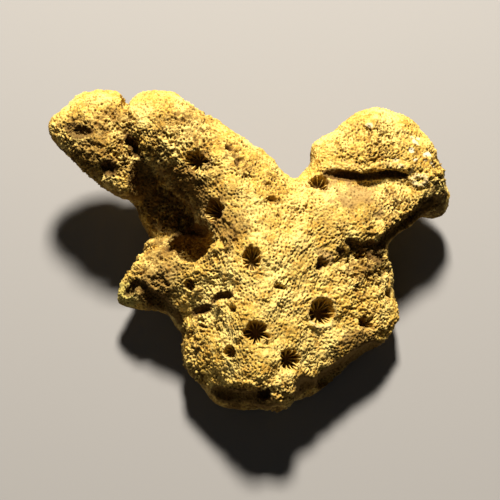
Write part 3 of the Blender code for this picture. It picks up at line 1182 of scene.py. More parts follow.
@dataclass(frozen=True)
class SkinGrain:
    """The grain of the skin. An amount is a height by the roughness of the growth.

    Attributes:
        swells: The noise of its low swells.
        swell: Their height.
        lumps: The noise of the lumps on them.
        lump: Their height.
        ridges: The noise of the ridges between the lumps.
        ridge: Their height, which even growth has nothing of.
        veins: The noise of the veins, which run with the growth.
        vein: Their height.
        vein_run: How much the veins are drawn out, as a share.
        vein_sharpness: How narrow they are.
        vein_level: How much of their height lies under the skin.
        grit: The noise of the finest grit.
        speck: Its height.
        openings: The tiny openings.
        dark: How dark the painted shade in the lows is.
        dark_start: Where that painted shade begins.
        dark_lows: How much a low counts for it.
    """

    swells: Grain = Grain(20, 2.2, 2)
    swell: float = 0.14
    lumps: Grain = Grain(24, 1.0, 2, 0.6)
    lump: Amount = Amount(0.05, 0.25)
    ridges: Grain = Grain(30, 1.5, 2, 0.55)
    ridge: float = 0.30
    veins: Grain = Grain(40, 0.7, 2, 0.6)
    vein: Amount = Amount(0.13, 0.24)
    vein_run: float = 0.45
    vein_sharpness: float = 2.4
    vein_level: float = 0.6
    grit: Grain = Grain(50, 0.4, 1)
    speck: Amount = Amount(0.07, 0.06)
    openings: Openings = Openings()
    # The painted shade in the lows of the fine grain.
    dark: Amount = Amount(0.35, 0.8)
    dark_start: Amount = Amount(-0.1, 0.45)
    dark_lows: float = 0.8

    def broad(self, points: np.ndarray, rough: np.ndarray) -> np.ndarray:
        """Works out the swells, lumps and ridges.

        Args:
            points: The points, in millimetres.
            rough: How rough the growth is at each.

        Returns:
            The height of each point, in millimetres.
        """
        height = self.swell * self.swells.at(points) + self.lump.at(rough) * self.lumps.at(points)
        return height + self.ridge * rough * (1.0 - np.abs(self.ridges.at(points)) * 2.0)

    def fine(
        self, points: np.ndarray, growth: np.ndarray, rough: np.ndarray
    ) -> tuple[np.ndarray, np.ndarray]:
        """Works out the veins, the grit and the openings.

        Args:
            points: The points, in millimetres.
            growth: The way the skin grew at each.
            rough: How rough the growth is at each.

        Returns:
            The height of each point, in millimetres, and how much of an opening it lies in.
        """
        along = np.einsum("ij,ij->i", points, growth)
        drawn = points - growth * (along * self.vein_run)[:, None]
        veins = np.minimum(np.abs(self.veins.at(drawn)) * self.vein_sharpness, 1.0)
        height = self.vein.at(rough) * (veins - self.vein_level)
        height += self.speck.at(rough) * self.grit.at(points)
        opening = self.openings
        pore = smooth_step(opening.closeness(points, growth) * opening.wall.at(rough))
        pore *= smooth_step(opening.cover.at(opening.grain.at(points)))
        return height - opening.depth * pore * opening.sink.at(rough), pore

    def lows_shade(self, height: np.ndarray, rough: np.ndarray) -> np.ndarray:
        """How much painted shade lies in the lows of the fine grain, by their heights and the roughness."""
        lows = (np.median(height) - height) / np.std(height)
        return smooth_step(self.dark_start.at(rough) + self.dark_lows * lows) * self.dark.at(rough)


@dataclass(frozen=True)
class CupForm:
    """How the skin is drawn into a cup. The shares are of the mouth's radius, counted from its middle.

    Attributes:
        reach: How far out the skin is looked at.
        reach_up: How far above and below the mouth it is.
        lip: Where the lip round the mouth is highest.
        lip_width: How wide the lip is.
        lip_chalk: How chalky the lip is for each millimetre that it stands up.
        calm_end: How far out the grain is calmed.
        calm_fade: How much of that the calm fades over.
        calm: How much of the grain is taken off round the mouth.
        floor_skin: How much of the skin over the mouth becomes the floor.
        floor: How far out the floor runs.
        foot: How much the floor rises to the foot of the wall, as a share of the depth.
        wall_out: How late the wall runs out to the rim.
        wall_up: How late it runs up to the rim.
        shade: How dark the painted shade deep in the cup is.
    """

    reach: float = 1.5
    reach_up: float = 1.4
    lip: float = 1.1
    lip_width: float = 0.13
    lip_chalk: float = 1.5625
    calm_end: float = 1.3
    calm_fade: float = 0.3
    calm: float = 0.7
    floor_skin: float = 0.42
    floor: float = 0.74
    foot: float = 0.1
    wall_out: float = 1.5
    wall_up: float = 1.35
    shade: float = 0.95

    def profile(self, outward: np.ndarray) -> tuple[np.ndarray, np.ndarray]:
        """Tells where the skin over the mouth goes.

        Args:
            outward: How far out each point of the skin is.

        Returns:
            How much nearer the rim each point moves, as a factor, and how deep it goes, as a share.
        """
        inside = np.clip(outward, 0.0, 1.0)
        on_floor = inside < self.floor_skin
        across = inside / self.floor_skin
        wall = np.clip((inside - self.floor_skin) / (1.0 - self.floor_skin), 0.0, 1.0)
        wall_ring = self.floor + (1.0 - self.floor) * wall**self.wall_out
        wall_drop = (1.0 - self.foot) * (1.0 - wall**self.wall_up)
        ring = np.where(on_floor, across * self.floor, wall_ring)
        drop = np.where(on_floor, 1.0 - self.foot * across**2, wall_drop)
        over = outward < 1.0
        return np.where(over, ring / np.maximum(outward, TINY), 1.0), np.where(over, drop, 0.0)

    def sink(self, cup: Cup, skin: Skin, moved: np.ndarray, made: np.ndarray) -> None:
        """Draws the skin down into one cup, and up round its mouth.

        Args:
            cup: The cup.
            skin: The skin, whose masks are filled.
            moved: Its points with their relief.
            made: The points that are written.
        """
        even = cup.local(skin.points)[:, 2]
        outward = cup.outward(skin.points)
        close = np.flatnonzero((outward < self.reach) & (np.abs(even) < max(cup.radii) * self.reach_up))
        local, outward, even = cup.local(moved)[close], outward[close], even[close]
        lip = np.exp(-(((outward - self.lip) / self.lip_width) ** 2)) * cup.rim
        calm = self.calm * smooth_step((self.calm_end - outward) / self.calm_fade)
        scale, deep = self.profile(outward)
        local[:, :2] *= scale[:, None]
        top = local[:, 2] * (1.0 - calm) + even * calm + lip
        local[:, 2] = top * (1.0 - deep) - cup.depth * deep
        made[close] = np.array(cup.mouth) + local @ cup.axes().T
        # The deeper the skin goes into the cup, the darker its painted shade.
        hollow = skin.masks[Mask.HOLLOW_SHADE]
        hollow[close] = np.maximum(hollow[close] * (1.0 - deep), deep * self.shade)
        skin.masks[Mask.CHALK][close] += lip * self.lip_chalk


@dataclass
class Colony:
    """The whole growth, from its masses to its four dressed pieces.

    Attributes:
        fuse_voxel: The voxel that the masses are fused at.
        gouge_voxel: The voxel that the gouges are fused at.
        skin_voxel: The voxel that the skin is made at, before its visible side is refined.
        smooth_steps: How long the fused masses are smoothed.
        even_steps: How long the skin is smoothed before it gets its grain.
        swell_size: The size of the gentle swells.
        swell_height: Their height.
        fork_reach: How far from a parting face the skin is cut along it.
        trunk_faces: The most triangles that the trunk's skin may have.
        split_gain: How many triangles refining one face adds.
        shown_side: The way that the side which shows most faces.
        shown_least: How far away a face may be turned from it and still be refined.
        cup_reach: How far out from a cup the skin is refined first, as a share of its radius.
        cup_favour: How much sooner.
        grain: The grain of the skin.
        cup_form: How the skin is drawn into the cups.
        base_roughness: How rough the growth is where no spot says more.
        uneven: How much the roughness, and the stain and painted shade of the steep faces, vary by the
            noise.
        rough_grain: The noise that varies the roughness.
        stain_and_shade_grain: The noise that varies the stain and painted shade of the steep faces.
        mottle_grain: The noise that breaks up the stain and the painted shade laid with it.
        mottle: How sharply it does.
        mottle_most: How much of the stain and painted shade it takes.
        chip_grain: The noise of the pale chips.
        chip_start: How high that noise is where a chip starts.
        chip_sharpness: How sharp the edge of a chip is.
        chip_cover: How many chips there are, by how near the crust's end is.
        flank: The upward part of a face's normal where the broken flanks start.
        flank_sharpness: How soon they are broken all over.
        flank_calm: How much of the relief an even broken flank loses.
        even_below: How rough the growth is at most where it counts as even.
        stain_and_shade_start: The upward part of a face's normal where the stain and the painted shade of
            faces turned down start.
        stain_and_shade_sharpness: How soon they cover it all over.
        hollow_depth: How dark the painted shade in a low is for each millimetre.
        hollow_start: How dark the painted shade in a low is at no depth.
        hollow_most: How dark the painted shade in a low of the grain may be.
        base_fade: How high over the base the relief reaches its full height.
    """

    fuse_voxel: float = 0.5
    gouge_voxel: float = 0.15
    skin_voxel: float = 0.26
    smooth_steps: int = 8
    even_steps: int = 2
    swell_size: float = 3.2
    swell_height: float = 1.0
    fork_reach: float = 1.0
    trunk_faces: int = 196_000
    split_gain: float = 6.3
    shown_side: Triple = (0.0, -0.3, 0.954)
    shown_least: float = -0.6
    cup_reach: float = 1.3
    cup_favour: float = 0.5
    grain: SkinGrain = SkinGrain()
    cup_form: CupForm = CupForm()
    base_roughness: float = 0.2
    uneven: Amount = Amount(0.75, 0.5)
    rough_grain: Grain = Grain(70, 3.0, 2)
    stain_and_shade_grain: Grain = Grain(80, 3.0, 2)
    mottle_grain: Grain = Grain(81, 1.0, 3, 0.7)
    mottle: float = 3.0
    mottle_most: float = 0.5
    chip_grain: Grain = Grain(90, 1.1, 2)
    chip_start: float = 0.42
    chip_sharpness: float = 6.0
    chip_cover: Amount = Amount(0.1, 0.9)
    flank: float = 0.35
    flank_sharpness: float = 2.0
    flank_calm: float = 0.5
    even_below: float = 0.5
    # Faces turned down take the stain colour: partly the brown of broken faces, partly painted shade.
    stain_and_shade_start: float = 0.6
    stain_and_shade_sharpness: float = 1.7
    # The lows of the relief take painted shade.
    hollow_depth: float = 1.8
    hollow_start: float = -0.1
    hollow_most: float = 0.6
    base_fade: float = 0.5

    def helper(self, form: bmesh.types.BMesh, name: str) -> bpy.types.Object:
        """Turns a form into a hidden helper.

        Args:
            form: The form, which is freed.
            name: The helper's name.

        Returns:
            The helper, with every normal facing out.
        """
        bmesh.ops.recalc_face_normals(form, faces=form.faces)
        mesh = bpy.data.meshes.new(name)
        form.to_mesh(mesh)
        form.free()
        made = bpy.data.objects.new(name, mesh)
        bpy.context.scene.collection.objects.link(made)
        made.hide_render = True
        return made

    def hulls(self, name: str, masses: tuple[tuple[Lump, ...], ...]) -> bpy.types.Object:
        """Makes one helper that holds the hull of each mass.

        Args:
            name: The helper's name.
            masses: The lumps of each mass.

        Returns:
            The helper.
        """
        form = bmesh.new()
        for mass in masses:
            points = [form.verts.new(point) for lump in mass for point in lump.points()]
            hull = bmesh.ops.convex_hull(form, input=points)
            spare = set(hull["geom_interior"]) | set(hull["geom_unused"])
            inside = [item for item in spare if isinstance(item, bmesh.types.BMVert)]
            bmesh.ops.delete(form, geom=inside, context="VERTS")
        return self.helper(form, name)

    def block(self, spot: Break) -> bpy.types.Object:
        """Makes a helper for a broken face.

        Args:
            spot: The broken face.

        Returns:
            The box that takes it off.
        """
        form = bmesh.new()
        bmesh.ops.create_cube(form, size=1.0, matrix=placed(spot.centre, spot.turn, spot.sides))
        return self.helper(form, "break")

    def fuse(self, target: bpy.types.Object, voxel: float) -> None:
        """Adds a remesh that joins overlapping masses into one skin.

        Args:
            target: What is remeshed.
            voxel: How coarsely, in millimetres.
        """
        remesh = target.modifiers.new("fuse", "REMESH")
        remesh.mode = "VOXEL"
        remesh.voxel_size = voxel * MM

    def cut(self, target: bpy.types.Object, tool: bpy.types.Object) -> None:
        """Takes one form off another.

        Args:
            target: What is cut.
            tool: The form that it loses.
        """
        boolean = target.modifiers.new(tool.name, "BOOLEAN")
        boolean.operation = "DIFFERENCE"
        boolean.object = tool
        boolean.solver = "EXACT"

    def settle(self, target: bpy.types.Object) -> None:
        """Applies every modifier of an object.

        Args:
            target: The object.
        """
        graph = bpy.context.evaluated_depsgraph_get()
        mesh = bpy.data.meshes.new_from_object(target.evaluated_get(graph))
        target.modifiers.clear()
        target.data = mesh

    def grow(self) -> bpy.types.Object:
        """Fuses the masses, breaks the growth's edges off and hollows it.

        Returns:
            The growth as one closed form.
        """
        growth = self.hulls("growth", BODY + LEFT_ARM + RIGHT_ARM + STUB)
        self.fuse(growth, self.fuse_voxel)
        for face in BREAKS:
            self.cut(growth, self.block(face))
        for hollow in HOLLOWS:
            self.cut(growth, self.hulls("hollow", ((hollow,),)))
        self.fuse(growth, self.fuse_voxel)
        soften = growth.modifiers.new("soften", "SMOOTH")
        soften.iterations = self.smooth_steps
        swell = growth.modifiers.new("swell", "DISPLACE")
        swell.texture = bpy.data.textures.new("swell", "CLOUDS")
        swell.texture.noise_scale = self.swell_size * MM
        swell.texture_coords = "LOCAL"
        swell.strength = self.swell_height * MM
        self.settle(growth)
        gouges = self.hulls("gouges", tuple(mass for chain in GOUGES for mass in chain.masses()))
        self.fuse(gouges, self.gouge_voxel)
        self.settle(gouges)
        self.cut(growth, gouges)
        self.settle(growth)
        knobs = self.hulls("knobs", tuple(mass for chain in KNOBS for mass in chain.masses()))
        both = bmesh.new()
        both.from_mesh(growth.data)
        both.from_mesh(knobs.data)
        both.to_mesh(growth.data)
        both.free()
        self.fuse(growth, self.skin_voxel)
        even = growth.modifiers.new("even", "SMOOTH")
        even.iterations = self.even_steps
        self.settle(growth)
        return growth

    def part_form(self, form: bmesh.types.BMesh) -> None:
        """Cuts the form level at its base, and gives it an edge loop on each parting face.

        Args:
            form: The growth's form, in metres.
        """
        bmesh.ops.bisect_plane(
            form,
            geom=form.verts[:] + form.edges[:] + form.faces[:],
            dist=JOIN,
            plane_co=(0, 0, 0),
            plane_no=(0, 0, 1),
            clear_inner=True,
        )
        for fork in FORKS:
            near = []
            for face in form.faces:
                away = fork.beyond(np.array(face.calc_center_median())[None] / MM)[0]
                if abs(away) < self.fork_reach:
                    near.append(face)
            edges = {edge for face in near for edge in face.edges}
            points = {point for face in near for point in face.verts}
            bmesh.ops.bisect_plane(
                form,
                geom=list(points) + list(edges) + near,
                dist=JOIN,
                plane_co=Vector(fork.point) * MM,
                plane_no=Vector(fork.along()),
            )

    def whose(self, points: np.ndarray) -> np.ndarray:
        """Tells which piece each point belongs to.

        Args:
            points: The points, in millimetres.

        Returns:
            Nothing for the trunk, and for a branch one more than its fork's place in the table.
        """
        owner = np.zeros(len(points), np.int64)
        for number, fork in enumerate(FORKS):
            owner[fork.beyond(points) > 0.0] = number + 1
        return owner

    def refine(self, form: bmesh.types.BMesh) -> None:
        """Halves the edges of the skin that shows most: of the branches every face that shows, and of the
        trunk as many as its most triangles allow.

        Args:
            form: The growth's form, in metres.
        """
        form.faces.ensure_lookup_table()
        form.normal_update()
        centres = np.array([face.calc_center_median() for face in form.faces]) / MM
        facing = np.array([face.normal for face in form.faces])
        shown = facing @ np.array(self.shown_side)
        for cup in CUPS:
            shown[cup.outward(centres) < self.cup_reach] += self.cup_favour
        owner = self.whose(centres)
        corners = np.array([len(face.verts) for face in form.faces])
        chosen = (owner > 0) & (shown > self.shown_least)
        trunk = np.flatnonzero(owner == 0)
        base = (corners[trunk] - 2).sum()
        most = max(0, int((self.trunk_faces - base) / self.split_gain))
        chosen[trunk[np.argsort(-shown[trunk])[:most]]] = True
        edges = {edge for number in np.flatnonzero(chosen) for edge in form.faces[number].edges}
        bmesh.ops.subdivide_edges(form, edges=list(edges), cuts=1, use_grid_fill=True, smooth=0.0)

    def growth_at(self, skin: Skin) -> np.ndarray:
        """Finds the way the growth runs along the skin.

        Args:
            skin: The skin.

        Returns:
            A unit vector along the skin for each point.
        """
        closest = np.full(len(skin.points), np.inf)
        heading = np.zeros_like(skin.points)
        for stream in STREAMS:
            away, way = stream.nearest(skin.points)
            nearer = away < closest
            closest = np.where(nearer, away, closest)
            heading[nearer] = way[nearer]
        heading -= np.einsum("ij,ij->i", heading, skin.normals)[:, None] * skin.normals
        return heading / np.maximum(np.linalg.norm(heading, axis=1, keepdims=True), TINY)

    def roughness_at(self, points: np.ndarray) -> np.ndarray:
        """Finds how rough the growth is.

        Args:
            points: The points, in millimetres.

        Returns:
            The roughness at each point, from nothing to about one.
        """
        rough = np.full(len(points), self.base_roughness)
        for spot, strength in ROUGH_SPOTS:
            rough = np.maximum(rough, strength * spot.share(points, ROUGH_EDGE))
        return rough * self.uneven.at(self.rough_grain.at(points))

    def relief(self, skin: Skin) -> np.ndarray:
        """Works out how far each point of the skin stands out, and fills its masks.

        Args:
            skin: The skin.

        Returns:
            The height of each point above the smooth growth, in millimetres.
        """
        points = skin.points
        rough = self.roughness_at(points)
        steep_faces = smooth_step((self.flank - skin.normals[:, 2]) * self.flank_sharpness)
        calm = 1.0 - self.flank_calm * steep_faces * (rough < self.even_below)
        for spot, strength in CALM_SPOTS:
            calm *= 1.0 - strength * spot.share(points, CALM_EDGE)
        fine, pore = self.grain.fine(points, self.growth_at(skin), rough)
        height = self.grain.broad(points, rough) + fine
        # The openings are darkened: partly dark grit, partly painted shade.
        skin.lay(Mask.PORE, pore * calm)
        # Painted shade in the lows of the fine grain.
        skin.lay(Mask.DUST_AND_SHADE, self.grain.lows_shade(fine, rough) * calm)
        for chain in GOUGES + KNOBS:
            share = chain.share(points)
            calm *= 1.0 - chain.calm * share
            if chain.tint:
                # The gouges lay painted shade in their hollows and on shaded faces. The knobs lay pale
                # chips.
                skin.lay(chain.tint, share * chain.strength)
        height *= calm
        # Painted shade in the lows of the relief.
        lows = smooth_step(self.hollow_start - height * self.hollow_depth)
        skin.lay(Mask.HOLLOW_SHADE, lows * self.hollow_most)
        for feature in DENTS + TRAILS:
            share = feature.share(points)
            height -= feature.depth * share
            # Pits and grooves lay painted shade, and the ridge under the largest cup a painted highlight in
            # the chalk colour.
            if feature.tint:
                skin.lay(feature.tint, share * feature.strength)
        return height

    def colour_masks(self, skin: Skin) -> None:
        """Lays the stains, and the painted shade on faces turned down and on shaded places, that don't
        follow the relief.

        Args:
            skin: The skin.
        """
        points = skin.points
        # Steep faces and faces turned down get the stain colour: partly the brown of broken faces, partly
        # painted shade.
        steep_faces = smooth_step((self.stain_and_shade_start - skin.normals[:, 2]) * self.stain_and_shade_sharpness)
        skin.lay(Mask.STAIN_AND_SHADE, steep_faces * self.uneven.at(self.stain_and_shade_grain.at(points)))
        # Painted shade on places that lie in shade.
        for spot in PAINTED_SHADE_SPOTS:
            skin.lay(Mask.STAIN_AND_SHADE, spot.share(points, PAINTED_SHADE_EDGE))
        mottle = smooth_step(self.mottle_grain.at(points) * self.mottle)
        skin.masks[Mask.STAIN_AND_SHADE] *= 1.0 - self.mottle_most * mottle
        skin.lay(Mask.MOSS, GREEN_SPOT.share(points, GREEN_EDGE))
        for spot in GREY_SPOTS:
            skin.lay(Mask.ASH, spot.share(points, GREY_EDGE))
        # Dust on some spots, and painted shade on the shaded ones.
        for spot, thickness in DUST_AND_SHADE_SPOTS:
            skin.lay(Mask.DUST_AND_SHADE, spot.share(points, DUST_AND_SHADE_EDGE) * thickness)
        chips = smooth_step((self.chip_grain.at(points) - self.chip_start) * self.chip_sharpness)
        skin.lay(Mask.CHALK, chips * self.chip_cover.at(CHIPPED_SPOT.share(points, CHIPPED_EDGE)))

    def dress(self, skin: Skin) -> np.ndarray:
        """Gives the skin its masks, its relief and its cups.

        Args:
            skin: The skin.

        Returns:
            Its points, moved, in millimetres.
        """
        points = skin.points
        self.colour_masks(skin)
        height = self.relief(skin) * smooth_step(points[:, 2] / self.base_fade)
        moved = points + skin.normals * height[:, None]
        made = moved.copy()
        for cup in CUPS:
            self.cup_form.sink(cup, skin, moved, made)
        made[:, 2] = np.maximum(made[:, 2], 0.0)
        for fork in FORKS:
            on_face = np.abs(fork.beyond(points)) < ON_FACE
            made[on_face] -= ((made[on_face] - np.array(fork.point)) @ fork.along())[:, None] * fork.along()
        return made

    def pieces(self) -> dict[Part, bpy.types.Object]:
        """Makes the skin, its relief and its masks, and parts it.

        Returns:
            The object of each piece, closed, without a material.
        """
        growth = self.grow()
        form = bmesh.new()
        form.from_mesh(growth.data)
        bpy.data.objects.remove(growth)
        self.part_form(form)
        self.refine(form)
        form.normal_update()
        points = np.array([point.co for point in form.verts]) / MM
        skin = Skin(points, np.array([point.normal for point in form.verts]))
        form.verts.index_update()
        faces = [[point.index for point in face.verts] for face in form.faces]
        form.free()
        LOG.info("skin: %d points", len(points))
        moved = self.dress(skin)
        owner = self.whose(np.array([points[face].mean(axis=0) for face in faces]))
        made = {}
        for number, part in enumerate((Part.TRUNK, *(fork.branch for fork in FORKS))):
            own = [faces[index] for index in np.flatnonzero(owner == number)]
            made[part] = self.piece(part, own, moved, skin.masks)
        return made

    def close(self, form: bmesh.types.BMesh) -> None:
        """Closes a piece with a flat face at its base and at each fork.

        Args:
            form: The piece's form, in metres, open where it was cut.
        """
        rim = [edge for edge in form.edges if len(edge.link_faces) == 1]
        middles = np.array([(edge.verts[0].co + edge.verts[1].co) / 2 for edge in rim]) / MM
        away = [np.abs(middles[:, 2])]
        away += [np.abs((middles - np.array(fork.point)) @ fork.along()) for fork in FORKS]
        facing = [Vector((0.0, 0.0, 1.0)), *(Vector(fork.along()) for fork in FORKS)]
        nearest = np.argmin(np.array(away), axis=0)
        for number, normal in enumerate(facing):
            edges = [rim[index] for index in np.flatnonzero(nearest == number)]
            for edge in edges:
                edge.smooth = False
            if edges:
                bmesh.ops.triangle_fill(form, use_beauty=True, edges=edges, normal=normal)

    def drop_doubled(self, form: bmesh.types.BMesh) -> None:
        """Takes away each two faces on the same points, left where the skin lies flat in a cut.

        Args:
            form: The piece's form, in triangles.
        """
        seen: dict[frozenset[int], bmesh.types.BMFace] = {}
        doubled = set()
        form.verts.index_update()
        for face in form.faces:
            key = frozenset(point.index for point in face.verts)
            if key in seen:
                doubled |= {face, seen[key]}
            seen[key] = face
        bmesh.ops.delete(form, geom=list(doubled), context="FACES")

    def piece(
        self, part: Part, faces: list[list[int]], points: np.ndarray, masks: dict[Mask, np.ndarray]
    ) -> bpy.types.Object:
        """Makes one closed piece from its share of the skin.

        Args:
            part: Which piece it is.
            faces: Its faces, as numbers of points.
            points: Every point of the skin, in millimetres.
            masks: What every point carries.

        Returns:
            The piece's object.
        """
        used = np.unique(np.concatenate([np.array(face) for face in faces]))
        place = np.full(len(points), -1)
        place[used] = np.arange(len(used))
        mesh = bpy.data.meshes.new(part.value)
        mesh.from_pydata((points[used] * MM).tolist(), [], [place[face].tolist() for face in faces])
        for mask, amount in masks.items():
            layer = mesh.attributes.new(mask.value, "FLOAT", "POINT")
            layer.data.foreach_set("value", amount[used].astype(np.float32))
        form = bmesh.new()
        form.from_mesh(mesh)
        for face in form.faces:
            face.smooth = True
        self.close(form)
        bmesh.ops.triangulate(form, faces=form.faces)
        self.drop_doubled(form)
        bmesh.ops.recalc_face_normals(form, faces=form.faces)
        form.to_mesh(mesh)
        form.free()
        made = bpy.data.objects.new(part.value + "_skin", mesh)
        bpy.context.scene.collection.objects.link(made)
        return made


@dataclass(frozen=True)
class Corallite:
    """The ribs that stand in a coral cup.

    Attributes:
        cup: The cup that they stand in.
        number: The cup's place in its table, which seeds its ribs.
        thickness: How thick a rib is at the wall, in millimetres.
        thinning: How thick it is along its length, as a share, by how far out it is.
        steps: How many steps its edge has.
        top: How far out its edge starts, as a share of the radius.
        bottom: How deep its edge ends, as a share of the depth.
        sag: How late its edge runs down.
        tooth: How high the small teeth of its edge are, as a share of the depth.
        root: How far it reaches under the floor, in millimetres.
        back: Where its back meets the floor and the wall, as shares of the radius.
        back_height: How deep it meets the wall, as a share of the depth.
        starts: How deep its edge starts, at least and at most, as shares of the depth.
        sway: How far it may bend to a side, in radians.
        reaches: How near the axis a long rib and a short one come, as shares of the radius.
        reach_change: How much nearer and farther than that they may end.
        spread: How far a rib may stand from its place, as a share of the distance between two.
        shade: How dark their painted shade is at the floor.
        shade_slope: How soon their painted shade darkens with the depth.
        shade_start: How deep they start to, as a share of the depth.
        first_seed: The seed of the first cup's ribs.
    """

    cup: Cup
    number: int
    thickness: float = 0.12
    thinning: Amount = Amount(0.55, 0.45)
    steps: int = 14
    top: float = 1.04
    bottom: float = 0.93
    sag: float = 1.6
    tooth: float = 0.03
    root: float = 0.1
    back: Pair = (0.8, 0.95)
    back_height: float = 0.6
    starts: Pair = (0.03, 0.35)
    sway: float = 0.12
    reaches: Pair = (0.22, 0.55)
    reach_change: Pair = (-0.05, 0.2)
    spread: float = 0.25
    shade: float = 0.8
    shade_slope: float = 1.1
    shade_start: float = 0.2
    first_seed: int = 100

    def profile(self, reach: float, start: float, chance: np.random.Generator) -> list[Pair]:
        """Draws one rib from the side.

        Args:
            reach: How near the axis it comes, as a share of the radius.
            start: How deep it starts, as a share of the depth.
            chance: Where its small teeth come from.

        Returns:
            Its outline, as distances from the axis and heights, from the mouth in and back along the floor.
        """
        edge = []
        for step in range(self.steps + 1):
            share = step / self.steps
            out = self.top - (self.top - reach) * share
            down = -start - (self.bottom - start) * share**self.sag
            tooth = self.tooth * chance.uniform(-1.0, 1.0) if 0 < step < self.steps else 0.0
            edge.append((out, (down + tooth) * self.cup.depth))
        floor = -self.cup.depth - self.root
        foot, wall = self.back
        return [*edge, (reach, floor), (foot, floor), (wall, -self.back_height * self.cup.depth)]

    def add_rib(
        self, form: bmesh.types.BMesh, angle: float, reach: float, chance: np.random.Generator
    ) -> None:
        """Adds one rib to the form.

        Args:
            form: The form, in the cup's own axes and in millimetres.
            angle: Where the rib stands, in radians.
            reach: How near the axis it comes, as a share of the radius.
            chance: Where its small differences come from.
        """
        outline = self.profile(reach, chance.uniform(*self.starts), chance)
        sway = chance.uniform(-self.sway, self.sway)
        edge = self.cup.edge(np.array([angle]))[0]
        sides = []
        for side in (-1, 1):
            ring = []
            for out, height in outline:
                half = self.thickness / 2 * self.thinning.at(out) * side
                turned = angle + sway * (1.0 - out)
                across = Vector((-math.sin(turned), math.cos(turned), 0.0)) * half
                wide = out * (1.0 + (edge - 1.0) * min(out, 1.0))
                x = math.cos(turned) * wide * self.cup.radii[0]
                y = math.sin(turned) * wide * self.cup.radii[1]
                ring.append(form.verts.new(Vector((x, y, height)) + across))
            sides.append(ring)
        count = len(outline)
        for index in range(count):
            after = (index + 1) % count
            form.faces.new((sides[0][index], sides[0][after], sides[1][after], sides[1][index]))
        form.faces.new(sides[0][::-1])
        form.faces.new(sides[1])

    def ribs(self) -> bpy.types.Object:
        """Builds every rib of the cup.

        Returns:
            One object that holds them.
        """
        chance = np.random.default_rng(self.first_seed + self.number)
        form = bmesh.new()
        start = chance.uniform(0.0, 1.0)
        for index in range(self.cup.ribs):
            place = index + start + chance.uniform(-self.spread, self.spread)
            reach = self.reaches[index % 2] + chance.uniform(*self.reach_change)
            self.add_rib(form, 2 * math.pi * place / self.cup.ribs, reach, chance)
        deep = np.array([-point.co.z for point in form.verts]) / self.cup.depth
        # The ribs take painted shade, darker the deeper they stand in the cup.
        sunk_shade = smooth_step(deep * self.shade_slope - self.shade_start) * self.shade
        turn = Matrix(self.cup.axes().tolist()).to_4x4()
        spot = Matrix.Scale(MM, 4) @ Matrix.Translation(Vector(self.cup.mouth)) @ turn
        bmesh.ops.transform(form, matrix=spot, verts=form.verts)
        bmesh.ops.triangulate(form, faces=form.faces)
        bmesh.ops.recalc_face_normals(form, faces=form.faces)
        mesh = bpy.data.meshes.new("cup_ribs")
        form.to_mesh(mesh)
        form.free()
        layer = mesh.attributes.new(Mask.HOLLOW_SHADE.value, "FLOAT", "POINT")
        layer.data.foreach_set("value", sunk_shade.astype(np.float32))
        made = bpy.data.objects.new(f"cup_{self.number + 1}_ribs", mesh)
        bpy.context.scene.collection.objects.link(made)
        return made


@dataclass(frozen=True)
class Patches:
    """Patches of another colour, which a noise lays.

    Attributes:
        pitch: The size of the noise's lumps, in millimetres.
        detail: How many finer layers it has.
        low: The noise where a patch begins.
        high: The noise where it is full.
        top: How much of its colour it has where it is full.
    """

    pitch: float
    detail: float
    low: float
    high: float
    top: float = 1.0


@dataclass(frozen=True)
class Brush:
    """Lays the nodes of a finish.

    Attributes:
        tree: The node tree that it works in.
        where: The place on the fossil, in metres.
    """

    tree: bpy.types.NodeTree
    where: bpy.types.NodeSocket

    def noise(self, pitch: float, detail: float) -> bpy.types.NodeSocket:
        """Lays a noise.

        Args:
            pitch: The size of its lumps, in millimetres.
            detail: How many finer layers it has.

        Returns:
            Its value.
        """
        node = self.tree.nodes.new("ShaderNodeTexNoise")
        node.inputs["Scale"].default_value = 1.0 / (pitch * MM)
        node.inputs["Detail"].default_value = detail
        self.tree.links.new(self.where, node.inputs["Vector"])
        return node.outputs["Fac"]

    def ramp(
        self, value: bpy.types.NodeSocket, low: float, high: float, top: float
    ) -> bpy.types.NodeSocket:
        """Draws a value out.

        Args:
            value: The value.
            low: What becomes nothing.
            high: What becomes the top.
            top: The top.

        Returns:
            The new value.
        """
        node = self.tree.nodes.new("ShaderNodeMapRange")
        node.interpolation_type = "SMOOTHSTEP"
        node.inputs["From Min"].default_value = low
        node.inputs["From Max"].default_value = high
        node.inputs["To Max"].default_value = top
        self.tree.links.new(value, node.inputs["Value"])
        return node.outputs["Result"]

    def mix(
        self, share: bpy.types.NodeSocket, under: bpy.types.NodeSocket | Triple, over: Triple
    ) -> bpy.types.NodeSocket:
        """Lays one colour over another.

        Args:
            share: How much of the colour over there is.
            under: The colour under, or its socket.
            over: The colour over.

        Returns:
            The mixed colour.
        """
        node = self.tree.nodes.new("ShaderNodeMix")
        node.data_type = "RGBA"
        self.tree.links.new(share, node.inputs["Factor"])
        if isinstance(under, bpy.types.NodeSocket):
            self.tree.links.new(under, node.inputs["A"])
        else:
            node.inputs["A"].default_value = (*under, 1.0)
        node.inputs["B"].default_value = (*over, 1.0)
        return node.outputs["Result"]

    def patches(self, kind: Patches) -> bpy.types.NodeSocket:
        """How much of its colour each place has from some patches."""
        return self.ramp(self.noise(kind.pitch, kind.detail), kind.low, kind.high, kind.top)

    def mask(self, kind: Mask) -> bpy.types.NodeSocket:
        """Reads a mask of the skin.

        Args:
            kind: The mask.

        Returns:
            How much of it the skin carries.
        """
        node = self.tree.nodes.new("ShaderNodeAttribute")
        node.attribute_name = kind.value
        return node.outputs["Fac"]


